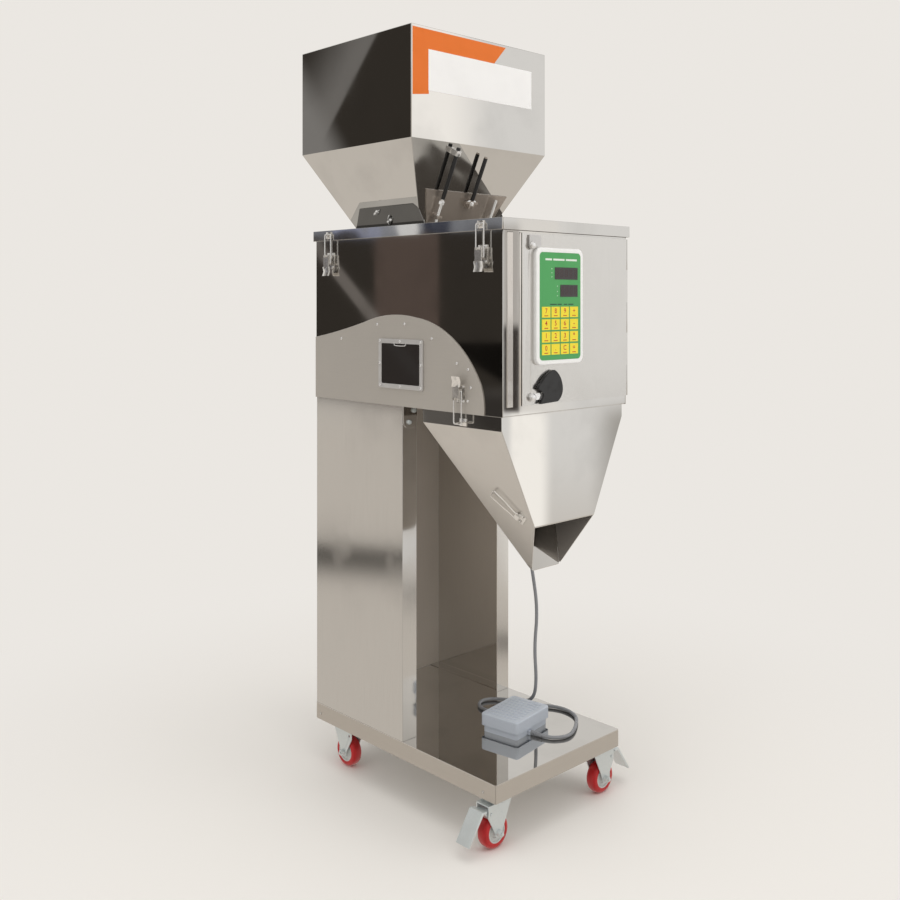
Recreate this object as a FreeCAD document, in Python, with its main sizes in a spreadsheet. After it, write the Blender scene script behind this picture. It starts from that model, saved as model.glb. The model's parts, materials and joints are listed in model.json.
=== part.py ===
import FreeCAD, Part
import math
import os
import re
import Sketcher
from FreeCAD import Placement, Rotation, Vector

# Vertical filling machine for grains and powders, in millimetres.
# A castered tray carries an open column, the column carries a housing, and the hopper stands on its lid.
# +Z is up, the control panel faces -Y, and the origin is on the floor under the middle of the machine.

# Driving sizes: name, number, meaning
SIZES = [
    ("machine_wide", 360.0, "width of tray, column and housing"),
    ("sheet_thick", 1.5, "stainless sheet of every folded panel"),
    ("caster_tall", 94.9, "floor to the underside of the tray skirt"),
    ("skirt_tall", 34.1, "depth of the tray's folded skirt"),
    ("tray_front", 273.9, "tray's front edge, forward of the origin"),
    ("rear_face", 266.3, "rear face of tray and housing, behind the origin"),
    ("tube_wide", 40.0, "cross tube under the tray"),
    ("tube_wall", 2.0, "wall of the cross tube"),
    ("column_tall", 661.1, "tray top to housing floor"),
    ("column_left_front", -19.0, "front edge of the column's left wall"),
    ("column_right_front", 34.0, "front edge of the column's right wall"),
    ("column_back", 264.0, "rear face of the column"),
    ("flange_wide", 37.0, "front return of the column walls"),
    ("foot_wide", 26.0, "inward feet of the column"),
    ("tab_long", 44.0, "rounded tab hanging from the housing floor"),
    ("tab_thick", 2.0, "its sheet"),
    ("housing_tall", 336.1, "housing floor to the lid's lower edge"),
    ("housing_front", 291.0, "front edge of the housing walls"),
    ("lid_tall", 21.4, "folded skirt of the lid"),
    ("lid_lap", 5.4, "lid's overhang past the housing walls"),
    ("door_left", -130.0, "free edge of the front door"),
    ("door_low", 807.5, "lower edge of the front door"),
    ("door_high", 1122.4, "upper edge of the front door"),
    ("door_gap", 0.3, "door to its frame"),
    ("door_lap", 18.0, "door's lap over its frame"),
    ("hinge_round", 5.6, "diameter of the door hinge's knuckles"),
    ("rib_wide", 14.5, "raised fold beside the door"),
    ("rib_left", -168.5, "its left edge"),
    ("bin_half", 194.7, "half width of the hopper bin"),
    ("bin_front", 62.1, "hopper bin's front, forward of the origin"),
    ("bin_back", 297.9, "hopper bin's rear, behind the origin"),
    ("bin_base", 1315.2, "where the bin turns into the funnel"),
    ("bin_top", 1535.9, "top of the bin"),
    ("rim_wide", 10.0, "inward fold round the bin's top"),
    ("throat_base", 1095.0, "lower end of the funnel"),
    ("throat_half", 71.5, "half width of the funnel's lower end"),
    ("throat_front", 42.5, "front of the funnel's lower end"),
    ("throat_back", 193.0, "rear of the funnel's lower end"),
    ("gate_slot", 34.0, "height of the outlet behind the gate"),
    ("gate_top", 1224.0, "upper edge of the gate plate"),
    ("gate_thick", 2.0, "gate plate"),
    ("gate_gap", 0.4, "gate plate to the funnel"),
    ("rod_round", 7.0, "gate's guide rods and pull rod"),
    ("rod_reach", 13.0, "rod axis off the funnel's face"),
    ("saddle_tall", 48.0, "saddle plates beside the funnel"),
    ("saddle_foot", 18.0, "foot of a saddle plate on the lid"),
    ("chute_inset", 4.5, "housing wall to the side of the chute's mouth"),
    ("chute_front", 284.5, "front of the chute, forward of the origin"),
    ("chute_back", 73.9, "rear of the chute's mouth, forward of the origin"),
    ("chute_band", 26.1, "upright band round the chute's mouth"),
    ("chute_low", 466.0, "lowest point of the tongue"),
    ("chute_tip_half", 33.0, "half width of the chute at its lowest point"),
    ("chute_tip_back", 243.5, "rear of the chute at its lowest point, forward of the origin"),
    ("notch_high", 581.0, "upper end of the outlet in the chute's front"),
    ("notch_run", 49.9, "how far the outlet cuts back at the tip"),
    ("notch_foot", 481.0, "lower end of the outlet's slanted edge"),
    ("caster_x", 138.0, "caster swivels, out from the middle"),
    ("caster_front", -243.0, "front caster swivels"),
    ("caster_back", 222.0, "rear caster swivels"),
    ("caster_plate_long", 64.0, "caster plate"),
    ("caster_plate_wide", 50.0, "caster plate"),
    ("caster_plate_thick", 2.5, "caster plate"),
    ("kingpin_round", 10.0, "kingpin"),
    ("crown_round", 42.0, "swivel head of the fork"),
    ("crown_tall", 8.0, "swivel head of the fork"),
    ("trail", 18.0, "wheel axle behind the swivel"),
    ("wheel_round", 63.0, "wheel diameter"),
    ("wheel_wide", 24.0, "wheel width"),
    ("hub_round", 41.0, "hub inside the tyre"),
    ("axle_round", 8.0, "axle bolt"),
    ("axle_fit", 0.08, "running clearance of the wheels on the axles"),
    ("fork_gap", 1.6, "wheel to fork leg"),
    ("fork_thick", 2.5, "fork sheet"),
    ("brake_wide", 33.0, "brake pedal"),
    ("latch_wide", 24.0, "latch base plate"),
    ("latch_tall", 34.0, "latch base plate"),
    ("latch_pin_out", 9.0, "lever pin, out from the wall"),
    ("latch_throw", 14.0, "lever pin to bail pin"),
    ("latch_reach", 61.0, "bail pin to the bail's bar"),
    ("lever_wide", 17.0, "over the lever's cheeks"),
    ("lever_long", 40.0, "lever pin to the lever's tip"),
    ("wire_round", 2.6, "bail wire"),
    ("bail_half", 10.2, "bail's legs, out from the middle"),
    ("latch_rear_y", 213.0, "rear lid latches"),
    ("latch_front_y", -243.0, "front lid latches"),
    ("latch_chute_y", -187.0, "chute latches"),
    ("latch_lid_pin", 1092.0, "height of the lid latches' lever pins"),
    ("latch_chute_pin", 818.0, "height of the chute latches' lever pins"),
    ("cover_thick", 2.0, "side cover"),
    ("window_wide", 132.3, "window frame"),
    ("window_tall", 98.1, "window frame"),
    ("window_y", -17.6, "middle of the window"),
    ("window_z", 873.8, "middle of the window"),
    ("window_rim", 9.0, "width of the window frame"),
    ("panel_left", -100.0, "control panel bezel"),
    ("panel_right", 33.7, "control panel bezel"),
    ("panel_low", 880.2, "control panel bezel"),
    ("panel_high", 1097.0, "control panel bezel"),
    ("panel_thick", 8.0, "control panel bezel"),
    ("panel_round", 14.0, "corner radius of the bezel"),
    ("overlay_margin", 8.5, "bezel rim round the key foil"),
    ("overlay_thick", 0.8, "key foil"),
    ("key_pitch_x", 26.5, "key spacing across"),
    ("key_pitch_z", 23.0, "key spacing down"),
    ("key_wide", 23.5, "key"),
    ("key_tall", 20.0, "key"),
    ("keys_left", -86.0, "left edge of the keys"),
    ("keys_low", 898.5, "lower edge of the keys"),
    ("hinge_leaf", 1.2, "leaf of the door hinge"),
    ("turn_x", -106.0, "turn buttons on the door"),
    ("turn_high_z", 1101.0, "upper turn button"),
    ("turn_low_z", 822.0, "lower turn button"),
    ("turn_round", 8.0, "shaft of a turn button"),
    ("turn_reach", 8.0, "how far the lower handle stands out"),
    ("cam_long", 12.0, "catch behind the door"),
    ("tab_high", 18.0, "upper turn tab, above its screw"),
    ("tab_edge", 6.0, "rounded corners of the upper turn tab"),
    ("grip_start", 28.0, "lower handle's grip, from its screw"),
    ("tab_reach", 24.0, "upper turn tab"),
    ("door_lip", 5.0, "door's lap over its frame above and below"),
    ("tab_round", 14.0, "corners of the hanging tabs"),
    ("guide_x", 76.0, "guide rods, out from the middle"),
    ("guide_long", 192.0, "long guide rod"),
    ("guide_short", 96.0, "short guide rod"),
    ("lug_left_z", 86.0, "left lug of the gate, up its slope"),
    ("lug_right_z", 76.0, "right lug of the gate, up its slope"),
    ("lug_tall", 7.0, "lugs of the gate"),
    ("gate_low_half", 66.0, "half width of the gate's lower edge"),
    ("gate_high_half", 117.0, "half width of the gate's upper edge"),
    ("pull_x", 7.0, "pull rod"),
    ("pull_long", 106.0, "pull rod"),
    ("wing_long", 34.0, "wing nut on the pull rod"),
    ("saddle_gap", 0.3, "saddle plate to the funnel"),
    ("funnel_gap", 2.0, "funnel to the edge of the lid's opening"),
    ("gate_room", 4.5, "room for the gate in the lid's opening"),
    ("cover_high", 966.0, "crown of the side cover"),
    ("cover_front", 246.0, "front foot of the side cover, forward of the origin"),
    ("cover_back_high", 920.0, "side cover at the rear"),
    ("cover_shoulder", 98.0, "where the cover's hollow turns into its dome"),
    ("cover_shoulder_high", 955.0, "height there"),
    ("cover_peak", 60.0, "where the crown ends, forward of the origin"),
    ("cover_crown", 330.0, "radius of the crown"),
    ("cover_brow", 230.0, "radius of the brow"),
    ("cover_nose", 845.0, "where the nose begins"),
    ("cover_nose_round", 120.0, "radius of the nose"),
    ("frame_thick", 3.5, "window frame"),
    ("overlay_seat", 0.5, "recess for the key foil"),
    ("key_thick", 0.5, "keys and display windows on the foil"),
    ("display_one_x", -50.0, "upper display"),
    ("display_one_z", 1038.5, "upper display"),
    ("display_two_x", -34.5, "lower display"),
    ("display_two_z", 1006.0, "lower display"),
    ("display_right", 16.0, "right edge of the displays"),
    ("display_tall", 22.5, "displays"),
    ("board_set", 8.0, "circuit board behind the door frame"),
    ("bridge_back", 15.0, "fork sheet behind the swivel"),
    ("leg_round", 9.0, "rounded foot of a fork leg"),
    ("ear_x", 44.0, "brake ears, ahead of the swivel"),
    ("ear_low", 64.0, "lower corner of the brake ears"),
    ("brake_pin_x", 37.0, "brake pin, ahead of the swivel"),
    ("brake_pin_z", 70.5, "height of the brake pin"),
    ("brake_pin_round", 5.0, "brake pin"),
    ("brake_out", 44.0, "pedal's slope, outward"),
    ("brake_drop", 48.0, "pedal's slope, downward"),
    ("hub_dish", 4.0, "how deep the hub is dished"),
    ("tread_round", 7.0, "rounded shoulders of the tyre"),
    ("latch_pin_round", 3.0, "lever pin"),
    ("ear_half", 5.5, "latch ears, out from the middle"),
    ("keeper_half", 4.5, "half width of the keeper's tongue"),
    ("web_out", 5.5, "lever's web, out from its pin"),
    ("lever_tip", 22.0, "width of the lever's tip"),
    ("stand_front", 20.0, "feeder stand"),
    ("stand_back", 170.0, "feeder stand"),
    ("stand_high", 940.0, "top of the feeder stand"),
    ("stand_half", 60.0, "half width of the feeder stand"),
    ("stand_thick", 4.0, "plate of the feeder stand"),
    ("trough_half", 84.0, "half width of the trough"),
    ("trough_low", 1048.0, "underside of the trough"),
    ("trough_high", 1091.0, "top of the trough's walls"),
    ("trough_front", 84.0, "front lip of the trough, forward of the origin"),
    ("bucket_half", 70.0, "half width of the weigh bucket"),
    ("bucket_front", -190.0, "front of the weigh bucket"),
    ("bucket_back", -76.0, "rear of the weigh bucket"),
    ("bucket_low", 900.0, "lower edge of the weigh bucket"),
    ("bucket_tall", 138.0, "weigh bucket"),
    ("flap_pin_y", -82.0, "pin of the drop flap"),
    ("cell_low", 930.0, "underside of the load cell"),
    ("inlet_x", 110.0, "mains inlet on the rear wall"),
    ("inlet_z", 850.0, "middle of the mains inlet"),
    ("inlet_wide", 28.0, "hole for the mains inlet"),
    ("inlet_tall", 48.0, "hole for the mains inlet"),
    ("gland_x", 117.0, "cable gland in the housing floor"),
    ("gland_y", -44.0, "cable gland in the housing floor"),
    ("gland_round", 12.0, "thread of the cable gland"),
    ("gland_drop", 22.0, "gland below the floor"),
    ("cord_round", 7.0, "foot switch cord"),
    ("foot_x", 35.0, "middle of the foot switch on the tray"),
    ("foot_y", -122.0, "middle of the foot switch on the tray"),
    ("foot_long", 118.0, "foot switch"),
    ("foot_deep", 90.0, "foot switch"),
    ("foot_room", 4.2, "shell's overhang past the base"),
    ("foot_base_tall", 19.0, "block of the foot switch"),
    ("foot_shell_low", 13.0, "lower edge of the pedal shell"),
    ("foot_shell_tall", 24.0, "pedal shell"),
    ("foot_wall", 2.5, "wall of the pedal shell"),
    ("foot_hinge_y", 34.0, "hinge pin of the pedal"),
    ("foot_hinge_z", 15.0, "height of the hinge pin"),
    ("foot_pin_round", 3.0, "hinge pin of the pedal"),
    ("foot_exit_x", -12.0, "where the cord enters the foot switch"),
    ("cut_over", 1.0, "how far a cut runs past a face"),
    ("pin_fit", 0.3, "clearance round pins and rods"),
    ("foot_set", 12.0, "column's feet behind its front edges"),
    ("frame_stile", 28.0, "front frame beside the hinge"),
    ("narrow_fold", 3.0, "narrow fold beside the door, and its gap to the door"),
    ("leaf_wide", 16.0, "leaf of the door hinge"),
    ("leaf_gap", 0.6, "hinge leaf to the knuckles"),
    ("knuckle_gap", 0.4, "gap at each end of a knuckle"),
    ("outlet_margin", 14.0, "outlet inside the funnel's sides"),
    ("outlet_lip", 4.0, "sheet below the funnel's outlet"),
    ("gate_foot", 2.0, "gate's lower edge, up the slope"),
    ("block_drop", 30.0, "pull rod's block below the gate's upper edge"),
    ("block_tall", 10.0, "pull rod's block"),
    ("wing_tall", 5.0, "wing nut on the pull rod"),
    ("wing_thick", 4.0, "wing nut on the pull rod"),
    ("pull_sink", 22.0, "pull rod below the gate's upper edge"),
    ("rod_sink", 12.0, "spare length that the lid trims off the guide rods"),
    ("rod_collar", 5.0, "collar at a guide rod's foot"),
    ("saddle_ahead", 21.0, "saddle plate ahead of the funnel"),
    ("saddle_behind", 17.0, "saddle plate behind the funnel"),
    ("saddle_corner", 14.0, "cut corners of a saddle plate"),
    ("saddle_slope", 55.0, "sloping rear edge of a saddle plate"),
    ("cover_sweep", 1900.0, "radius of the cover's rear edge"),
    ("cover_toe", 8.0, "cover's nose behind its foot"),
    ("frame_round", 3.0, "corners of the window frame and its pane"),
    ("pane_thick", 3.0, "window pane"),
    ("pane_set", 0.8, "window pane behind the frame's face"),
    ("bezel_edge", 2.5, "rounded front edge of the bezel"),
    ("overlay_round", 8.0, "corners of the key foil and its recess"),
    ("overlay_fit", 0.2, "key foil to the bezel's rim"),
    ("washer_thick", 3.0, "washer of a turn button"),
    ("washer_gap", 0.4, "washer to the door"),
    ("cam_thick", 2.5, "catch behind the door"),
    ("cam_gap", 0.6, "catch to the frame"),
    ("board_thick", 1.6, "circuit board"),
    ("board_inset", 12.0, "circuit board inside the bezel's outline"),
    ("post_round", 6.0, "posts of the circuit board"),
    ("chip_wide", 36.0, "transformer on the circuit board"),
    ("chip_tall", 32.0, "transformer on the circuit board"),
    ("spring_half", 30.0, "half width of the leaf springs"),
    ("spring_thick", 4.0, "leaf springs"),
    ("spring_lean", 8.0, "lean of the leaf springs"),
    ("spring_grip", 37.0, "clamped ends of the leaf springs"),
    ("magnet_half", 45.0, "half width of the magnet's foot"),
    ("magnet_tall", 35.0, "magnet's foot"),
    ("core_tall", 24.0, "magnet's core"),
    ("core_round", 40.0, "magnet's core"),
    ("spring_inset", 20.0, "leaf springs inside the feeder stand"),
    ("lug_drop", 40.0, "block under the trough"),
    ("lug_half", 34.0, "half width of the block under the trough"),
    ("trough_wall", 2.0, "sheet of the trough"),
    ("trough_behind", 14.0, "trough behind the funnel"),
    ("cell_half", 15.0, "half width of the load cell"),
    ("cell_tall", 26.0, "load cell"),
    ("cell_hole", 7.0, "radius of the load cell's two holes"),
    ("cell_pitch", 18.0, "load cell's two holes"),
    ("hanger_half", 6.0, "half width of the bucket's hangers"),
    ("hanger_thick", 5.0, "bucket's hangers"),
    ("hanger_drop", 8.0, "hangers below the bucket"),
    ("hanger_rise", 16.0, "hangers up the bucket"),
    ("flap_pin_round", 4.0, "pin of the drop flap"),
    ("flap_drop", 2.5, "flap below the bucket"),
    ("inlet_rim", 9.0, "flange of the mains inlet, at its sides"),
    ("inlet_brow", 4.0, "flange of the mains inlet, above and below"),
    ("inlet_flange", 3.0, "thickness of the mains inlet's flange"),
    ("inlet_deep", 22.0, "mains inlet inside the housing"),
    ("socket_deep", 14.0, "socket of the mains inlet"),
    ("socket_half", 12.0, "half width of the socket"),
    ("prong_pitch", 7.0, "prongs of the mains inlet"),
    ("rocker_rise", 12.0, "rocker above the middle of the inlet"),
    ("rocker_room", 8.0, "well behind the rocker"),
    ("rocker_half", 10.0, "half width of the rocker"),
    ("rocker_tall", 16.0, "rocker and its play"),
    ("rocker_pin", 2.0, "pin of the rocker"),
    ("gland_nut", 9.0, "radius of the cable gland's nuts"),
    ("exit_half", 6.0, "half width of the foot switch's cord outlet"),
    ("exit_reach", 3.0, "cord outlet ahead of the pedal shell"),
    ("exit_high", 4.3, "cord's middle above the tray"),
    ("ridge_wide", 3.0, "ridges on the pedal"),
    ("ridge_tall", 1.0, "ridges on the pedal"),
    ("ridge_margin", 12.0, "ridges inside the pedal's ends"),
    ("ridge_inset", 10.0, "ridges inside the pedal's sides"),
    ("ear_thick", 4.0, "half height of the latch ears"),
    ("base_rise", 8.0, "latch base above its lever's pin"),
    ("keeper_tall", 14.0, "latch keeper's plate"),
    ("keeper_drop", 7.4, "keeper's plate below its tongue"),
    ("keeper_reach", 5.2, "keeper's tongue past the lever's pin"),
    ("lip_thick", 1.3, "lip of the keeper's tongue"),
    ("lip_rise", 0.5, "lip above the keeper's tongue"),
    ("web_drop", 2.0, "lever's web below its pin"),
    ("cheek_rise", 3.0, "lever's cheeks above their pin"),
]

# The foot switch's turn on the tray in degrees, and the number of its ridges
FOOT_YAW = 9
RIDGES = 9

# Places worked out from the driving sizes
WORKED_OUT = {
    "side": "machine_wide / 2",
    "inside": "side - sheet_thick",
    "chute_half": "side - chute_inset",
    "tray_top": "caster_tall + skirt_tall",
    "floor_low": "tray_top + column_tall",
    "floor_high": "floor_low + sheet_thick",
    "lid_low": "floor_low + housing_tall",
    "lid_top": "lid_low + lid_tall",
    "wall_top": "lid_top - sheet_thick",
    "band_low": "floor_low - chute_band",
    "plate_low": "caster_tall - caster_plate_thick",
    "crown_high": "plate_low - 0.5",
    "crown_low": "crown_high - crown_tall",
    "wheel_r": "wheel_round / 2",
    "fork_in": "wheel_wide / 2 + fork_gap",
    "fork_out": "fork_in + fork_thick",
    "door_back": "-(housing_front + door_gap)",
    "door_face": "door_back - sheet_thick",
    "panel_face": "door_face - panel_thick",
    "hinge_x": "side + hinge_round / 2 + knuckle_gap",
    "hinge_y": "-housing_front + sheet_thick",
    "knuckle_long": "(door_high - door_low) / 5",
    "glass_wide": "window_wide - 2 * window_rim",
    "glass_tall": "window_tall - 2 * window_rim",
    "funnel_share": "(lid_top - throat_base) / (bin_base - throat_base)",
    "funnel_half": "throat_half + (bin_half - throat_half) * funnel_share",
    "funnel_front": "throat_front - (bin_front + throat_front) * funnel_share",
    "funnel_back": "throat_back + (bin_back - throat_back) * funnel_share",
    "front_slope": "(bin_front + throat_front) / (bin_base - throat_base)",
    "gate_tall": "(gate_top - throat_base) * sqrt(1 + front_slope * front_slope)",
    "chute_slope": "(chute_half - chute_tip_half) / (band_low - chute_low)",
    "chute_cosine": "1 / sqrt(1 + chute_slope * chute_slope)",
    "tongue_round": "chute_tip_half / (chute_cosine - chute_slope * (1 - chute_slope * chute_cosine))",
    "tongue_half": "tongue_round * chute_cosine",
    "tongue_high": "chute_low + tongue_round * (1 - chute_slope * chute_cosine)",
    "flap_pin_z": "bucket_low - flap_drop + sheet_thick / 2",
    "washer_back": "washer_thick + washer_gap",
    "leaf_front": "hinge_y + hinge_round / 2 + leaf_gap",
    "exit_y": "foot_deep / 2 + exit_reach",
}

doc = FreeCAD.newDocument("FillingMachine")
sheet = doc.addObject("Spreadsheet::Sheet", "Sizes")
for row, (alias, amount, meaning) in enumerate(SIZES, start=1):
    sheet.set(f"A{row}", meaning)
    sheet.set(f"B{row}", str(amount))
    sheet.setAlias(f"B{row}", alias)
doc.recompute()

ALIASES = {alias for alias, amount, meaning in SIZES}
sub_parts = []


# Expressions

def formula(text):
    """The expression with each name turned into its cell, or into the formula behind it."""
    def swap(match):
        word = match.group(0)
        if word in WORKED_OUT:
            return "(" + formula(WORKED_OUT[word]) + ")"
        return "Sizes." + word if word in ALIASES else word
    return re.sub(r"[a-z_]+", swap, str(text))


def number(text):
    """The present value of an expression."""
    value = sheet.evalExpression(formula(text))
    return float(getattr(value, "Value", value))


# Sketches and features

PLANES = {"top": "XY_Plane", "front": "XZ_Plane", "side": "YZ_Plane"}


def keep(item, label):
    """Name a finished sub-part and list it for export."""
    item.Label = label
    sub_parts.append(item)
    return item


def new_body(label):
    body = doc.addObject("PartDesign::Body", label)
    return keep(body, label)


def new_sketch(body, plane, level):
    """An empty sketch on one of the body's origin planes, moved to a level along X, Y or Z."""
    sketch = body.newObject("Sketcher::SketchObject", "Sketch")
    base = [f for f in body.Origin.OriginFeatures if f.Role == PLANES[plane]][0]
    sketch.AttachmentSupport = [(base, "")]
    sketch.MapMode = "FlatFace"
    sign = "-" if plane == "front" else ""
    sketch.setExpression("AttachmentOffset.Base.z", f"{sign}({formula(level)})")
    return sketch


def pin_point(sketch, item, point, place):
    """Tie one sketch point to its two formulas."""
    for kind, text in zip(("DistanceX", "DistanceY"), place):
        index = sketch.addConstraint(Sketcher.Constraint(kind, -1, 1, item, point, number(text)))
        sketch.setExpression(f"Constraints[{index}]", formula(text))


def arc_edge(start, end, radius, side):
    """A short arc between two points; side 1 bulges to the right of the way, -1 to the left."""
    middle = (start + end) * 0.5
    way = end - start
    across = Vector(-way.y, way.x, 0).normalize() * side
    depth = math.sqrt(max(radius * radius - way.Length * way.Length / 4, 0.0))
    centre = middle + across * depth
    first = math.atan2(start.y - centre.y, start.x - centre.x)
    last = math.atan2(end.y - centre.y, end.x - centre.x)
    circle = Part.Circle(centre, Vector(0, 0, 1), radius)
    return Part.ArcOfCircle(circle, first, last) if side > 0 else Part.ArcOfCircle(circle, last, first)


def draw_loop(sketch, corners):
    """Draw a closed outline: corners (x, y), or (x, y, radius, side) where an arc leaves the corner."""
    points = [Vector(number(c[0]), number(c[1]), 0) for c in corners]
    ends = []
    for index, corner in enumerate(corners):
        here = points[index]
        following = points[(index + 1) % len(points)]
        if len(corner) == 2:
            item = sketch.addGeometry(Part.LineSegment(here, following), False)
            ends.append((item, 1, 2))
            continue
        radius = number(corner[2])
        item = sketch.addGeometry(arc_edge(here, following, radius, corner[3]), False)
        ends.append((item, 1, 2) if corner[3] > 0 else (item, 2, 1))
        rule = sketch.addConstraint(Sketcher.Constraint("Radius", item, radius))
        sketch.setExpression(f"Constraints[{rule}]", formula(corner[2]))
    for index, (item, first, last) in enumerate(ends):
        following, start, _ = ends[(index + 1) % len(ends)]
        sketch.addConstraint(Sketcher.Constraint("Coincident", item, last, following, start))
        pin_point(sketch, item, first, corners[index][:2])


def draw_circle(sketch, x, y, radius):
    item = sketch.addGeometry(Part.Circle(Vector(number(x), number(y), 0), Vector(0, 0, 1), number(radius)))
    pin_point(sketch, item, 3, (x, y))
    rule = sketch.addConstraint(Sketcher.Constraint("Radius", item, number(radius)))
    sketch.setExpression(f"Constraints[{rule}]", formula(radius))


def rectangle(left, low, right, high):
    return [(left, low), (right, low), (right, high), (left, high)]


def outline(body, plane, level, *loops):
    """A sketch of loops; a loop of three texts is a circle."""
    sketch = new_sketch(body, plane, level)
    for loop in loops:
        if isinstance(loop, tuple):
            draw_circle(sketch, *loop)
        else:
            draw_loop(sketch, loop)
    return sketch


def pad(body, plane, level, length, *loops):
    """Add material from the level towards +X, +Y or +Z."""
    feature = body.newObject("PartDesign::Pad", "Pad")
    feature.Profile = outline(body, plane, level, *loops)
    feature.setExpression("Length", formula(length))
    feature.Reversed = plane == "front"
    doc.recompute()
    return feature


def pocket(body, plane, level, length, *loops):
    """Cut material from the level towards +X, +Y or +Z, and check that something was cut."""
    before = body.Shape.Volume
    feature = body.newObject("PartDesign::Pocket", "Pocket")
    feature.Profile = outline(body, plane, level, *loops)
    feature.setExpression("Length", formula(length))
    feature.Reversed = plane != "front"
    doc.recompute()
    if body.Shape.Volume > before - 0.01:
        raise ValueError(f"{body.Label}: a pocket cut nothing")
    return feature


def hole(body, plane, level, length, *loops):
    """Cut right through a wall that starts at the level, a little past both of its faces."""
    return pocket(body, plane, f"{level} - cut_over", f"{length} + 2 * cut_over", *loops)


def loft(body, kind, sections):
    """A straight-sided loft between two level rectangles, added or cut."""
    profiles = [outline(body, "top", level, loop) for level, loop in sections]
    feature = body.newObject(f"PartDesign::{kind}Loft", kind + "Loft")
    feature.Profile = profiles[0]
    feature.Sections = profiles[1:]
    feature.Ruled = True
    doc.recompute()
    return feature


def revolve(body, plane, loop, around="V_Axis"):
    """Turn an outline in the given plane about one of its own axes."""
    feature = body.newObject("PartDesign::Revolution", "Revolution")
    feature.Profile = outline(body, plane, "0", loop)
    feature.ReferenceAxis = (feature.Profile[0], [around])
    feature.Angle = 360
    doc.recompute()
    return feature


def round_edges(body, radius, wanted, kind="Fillet"):
    """Fillet or chamfer the edges of the body's last feature that the test picks."""
    base = body.Tip
    names = [f"Edge{i + 1}" for i, edge in enumerate(base.Shape.Edges) if wanted(edge)]
    feature = body.newObject(f"PartDesign::{kind}", kind)
    feature.Base = (base, names)
    feature.setExpression("Radius" if kind == "Fillet" else "Size", formula(radius))
    doc.recompute()
    return feature


def along(axis):
    """A test for straight edges that run along an axis."""
    def test(edge):
        if edge.Curve.TypeId != "Part::GeomLine":
            return False
        return abs(edge.Curve.Direction.dot(axis)) > 0.999
    return test


X, Y, Z = Vector(1, 0, 0), Vector(0, 1, 0), Vector(0, 0, 1)


def set_place(item, x, y, z, rotation=None):
    """Put a sub-part at a place given by formulas."""
    item.Placement = Placement(Vector(number(x), number(y), number(z)), rotation or Rotation())
    for axis, text in zip("xyz", (x, y, z)):
        item.setExpression(f"Placement.Base.{axis}", formula(text))


def group(label, solids):
    """Repeated small pieces that share one sub-part, as separate solids."""
    item = doc.addObject("Part::Feature", label)
    item.Shape = Part.makeCompound(solids)
    return keep(item, label)


# Base: tray, cross tubes and column

def make_base_frame():
    """Two cross tubes that carry the casters, joined by a middle tube."""
    body = new_body("base_frame")
    high = "tray_top - sheet_thick"
    for y in ("caster_front", "caster_back"):
        outer = rectangle(f"{y} - tube_wide / 2", "caster_tall", f"{y} + tube_wide / 2", high)
        inner = rectangle(f"{y} - tube_wide / 2 + tube_wall", "caster_tall + tube_wall",
                          f"{y} + tube_wide / 2 - tube_wall", f"{high} - tube_wall")
        pad(body, "side", "-inside", "2 * inside", outer, inner)
    outer = rectangle("-tube_wide / 2", "caster_tall", "tube_wide / 2", high)
    inner = rectangle("-tube_wide / 2 + tube_wall", "caster_tall + tube_wall",
                      "tube_wide / 2 - tube_wall", f"{high} - tube_wall")
    pad(body, "front", "caster_front + tube_wide / 2", "caster_back - caster_front - tube_wide", outer, inner)


def make_base_tray():
    """An upturned pan: its skirt hides the cross tubes."""
    body = new_body("base_tray")
    pad(body, "top", "caster_tall", "skirt_tall", rectangle("-side", "-tray_front", "side", "rear_face"))
    round_edges(body, "2 * sheet_thick", along(Z))
    pocket(body, "top", "caster_tall - cut_over", "skirt_tall - sheet_thick + cut_over",
           rectangle("-inside", "-tray_front + sheet_thick", "inside", "rear_face - sheet_thick"))


def make_column_shell():
    """A channel open to the front; its left wall stands further forward than its right one."""
    body = new_body("column_shell")
    left, right = "column_left_front", "column_right_front"
    corners = [
        ("-side", left), ("-side + flange_wide", left), ("-side + flange_wide", f"{left} + sheet_thick"),
        ("-inside", f"{left} + sheet_thick"), ("-inside", "column_back - sheet_thick"),
        ("inside", "column_back - sheet_thick"), ("inside", f"{right} + sheet_thick"),
        ("side - flange_wide", f"{right} + sheet_thick"), ("side - flange_wide", right), ("side", right),
        ("side", "column_back"), ("-side", "column_back"),
    ]
    pad(body, "top", "tray_top", "column_tall", corners)
    for level in ("tray_top", "floor_low - sheet_thick"):
        pad(body, "top", level, "sheet_thick",
            rectangle("-inside", f"{left} + foot_set", "-inside + foot_wide", "column_back - sheet_thick"))
        pad(body, "top", level, "sheet_thick",
            rectangle("inside - foot_wide", f"{right} + foot_set", "inside", "column_back - sheet_thick"))


# Housing: walls, floor, front frame and lid

def glass_rectangle():
    """The window's clear opening, seen from the side."""
    return rectangle("window_y - glass_wide / 2", "window_z - glass_tall / 2",
                     "window_y + glass_wide / 2", "window_z + glass_tall / 2")


def inlet_rectangle(rim, brow):
    """The mains inlet's hole, widened at its sides and above and below."""
    return rectangle(f"inlet_x - inlet_wide / 2 - ({rim})", f"inlet_z - inlet_tall / 2 - ({brow})",
                     f"inlet_x + inlet_wide / 2 + ({rim})", f"inlet_z + inlet_tall / 2 + ({brow})")


def knuckle_ends(share):
    """Lower and upper end of one of the hinge's five knuckles."""
    low = f"door_low + knuckle_long * {share}"
    return f"{low} + knuckle_gap", f"{low} + knuckle_long - knuckle_gap"


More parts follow.
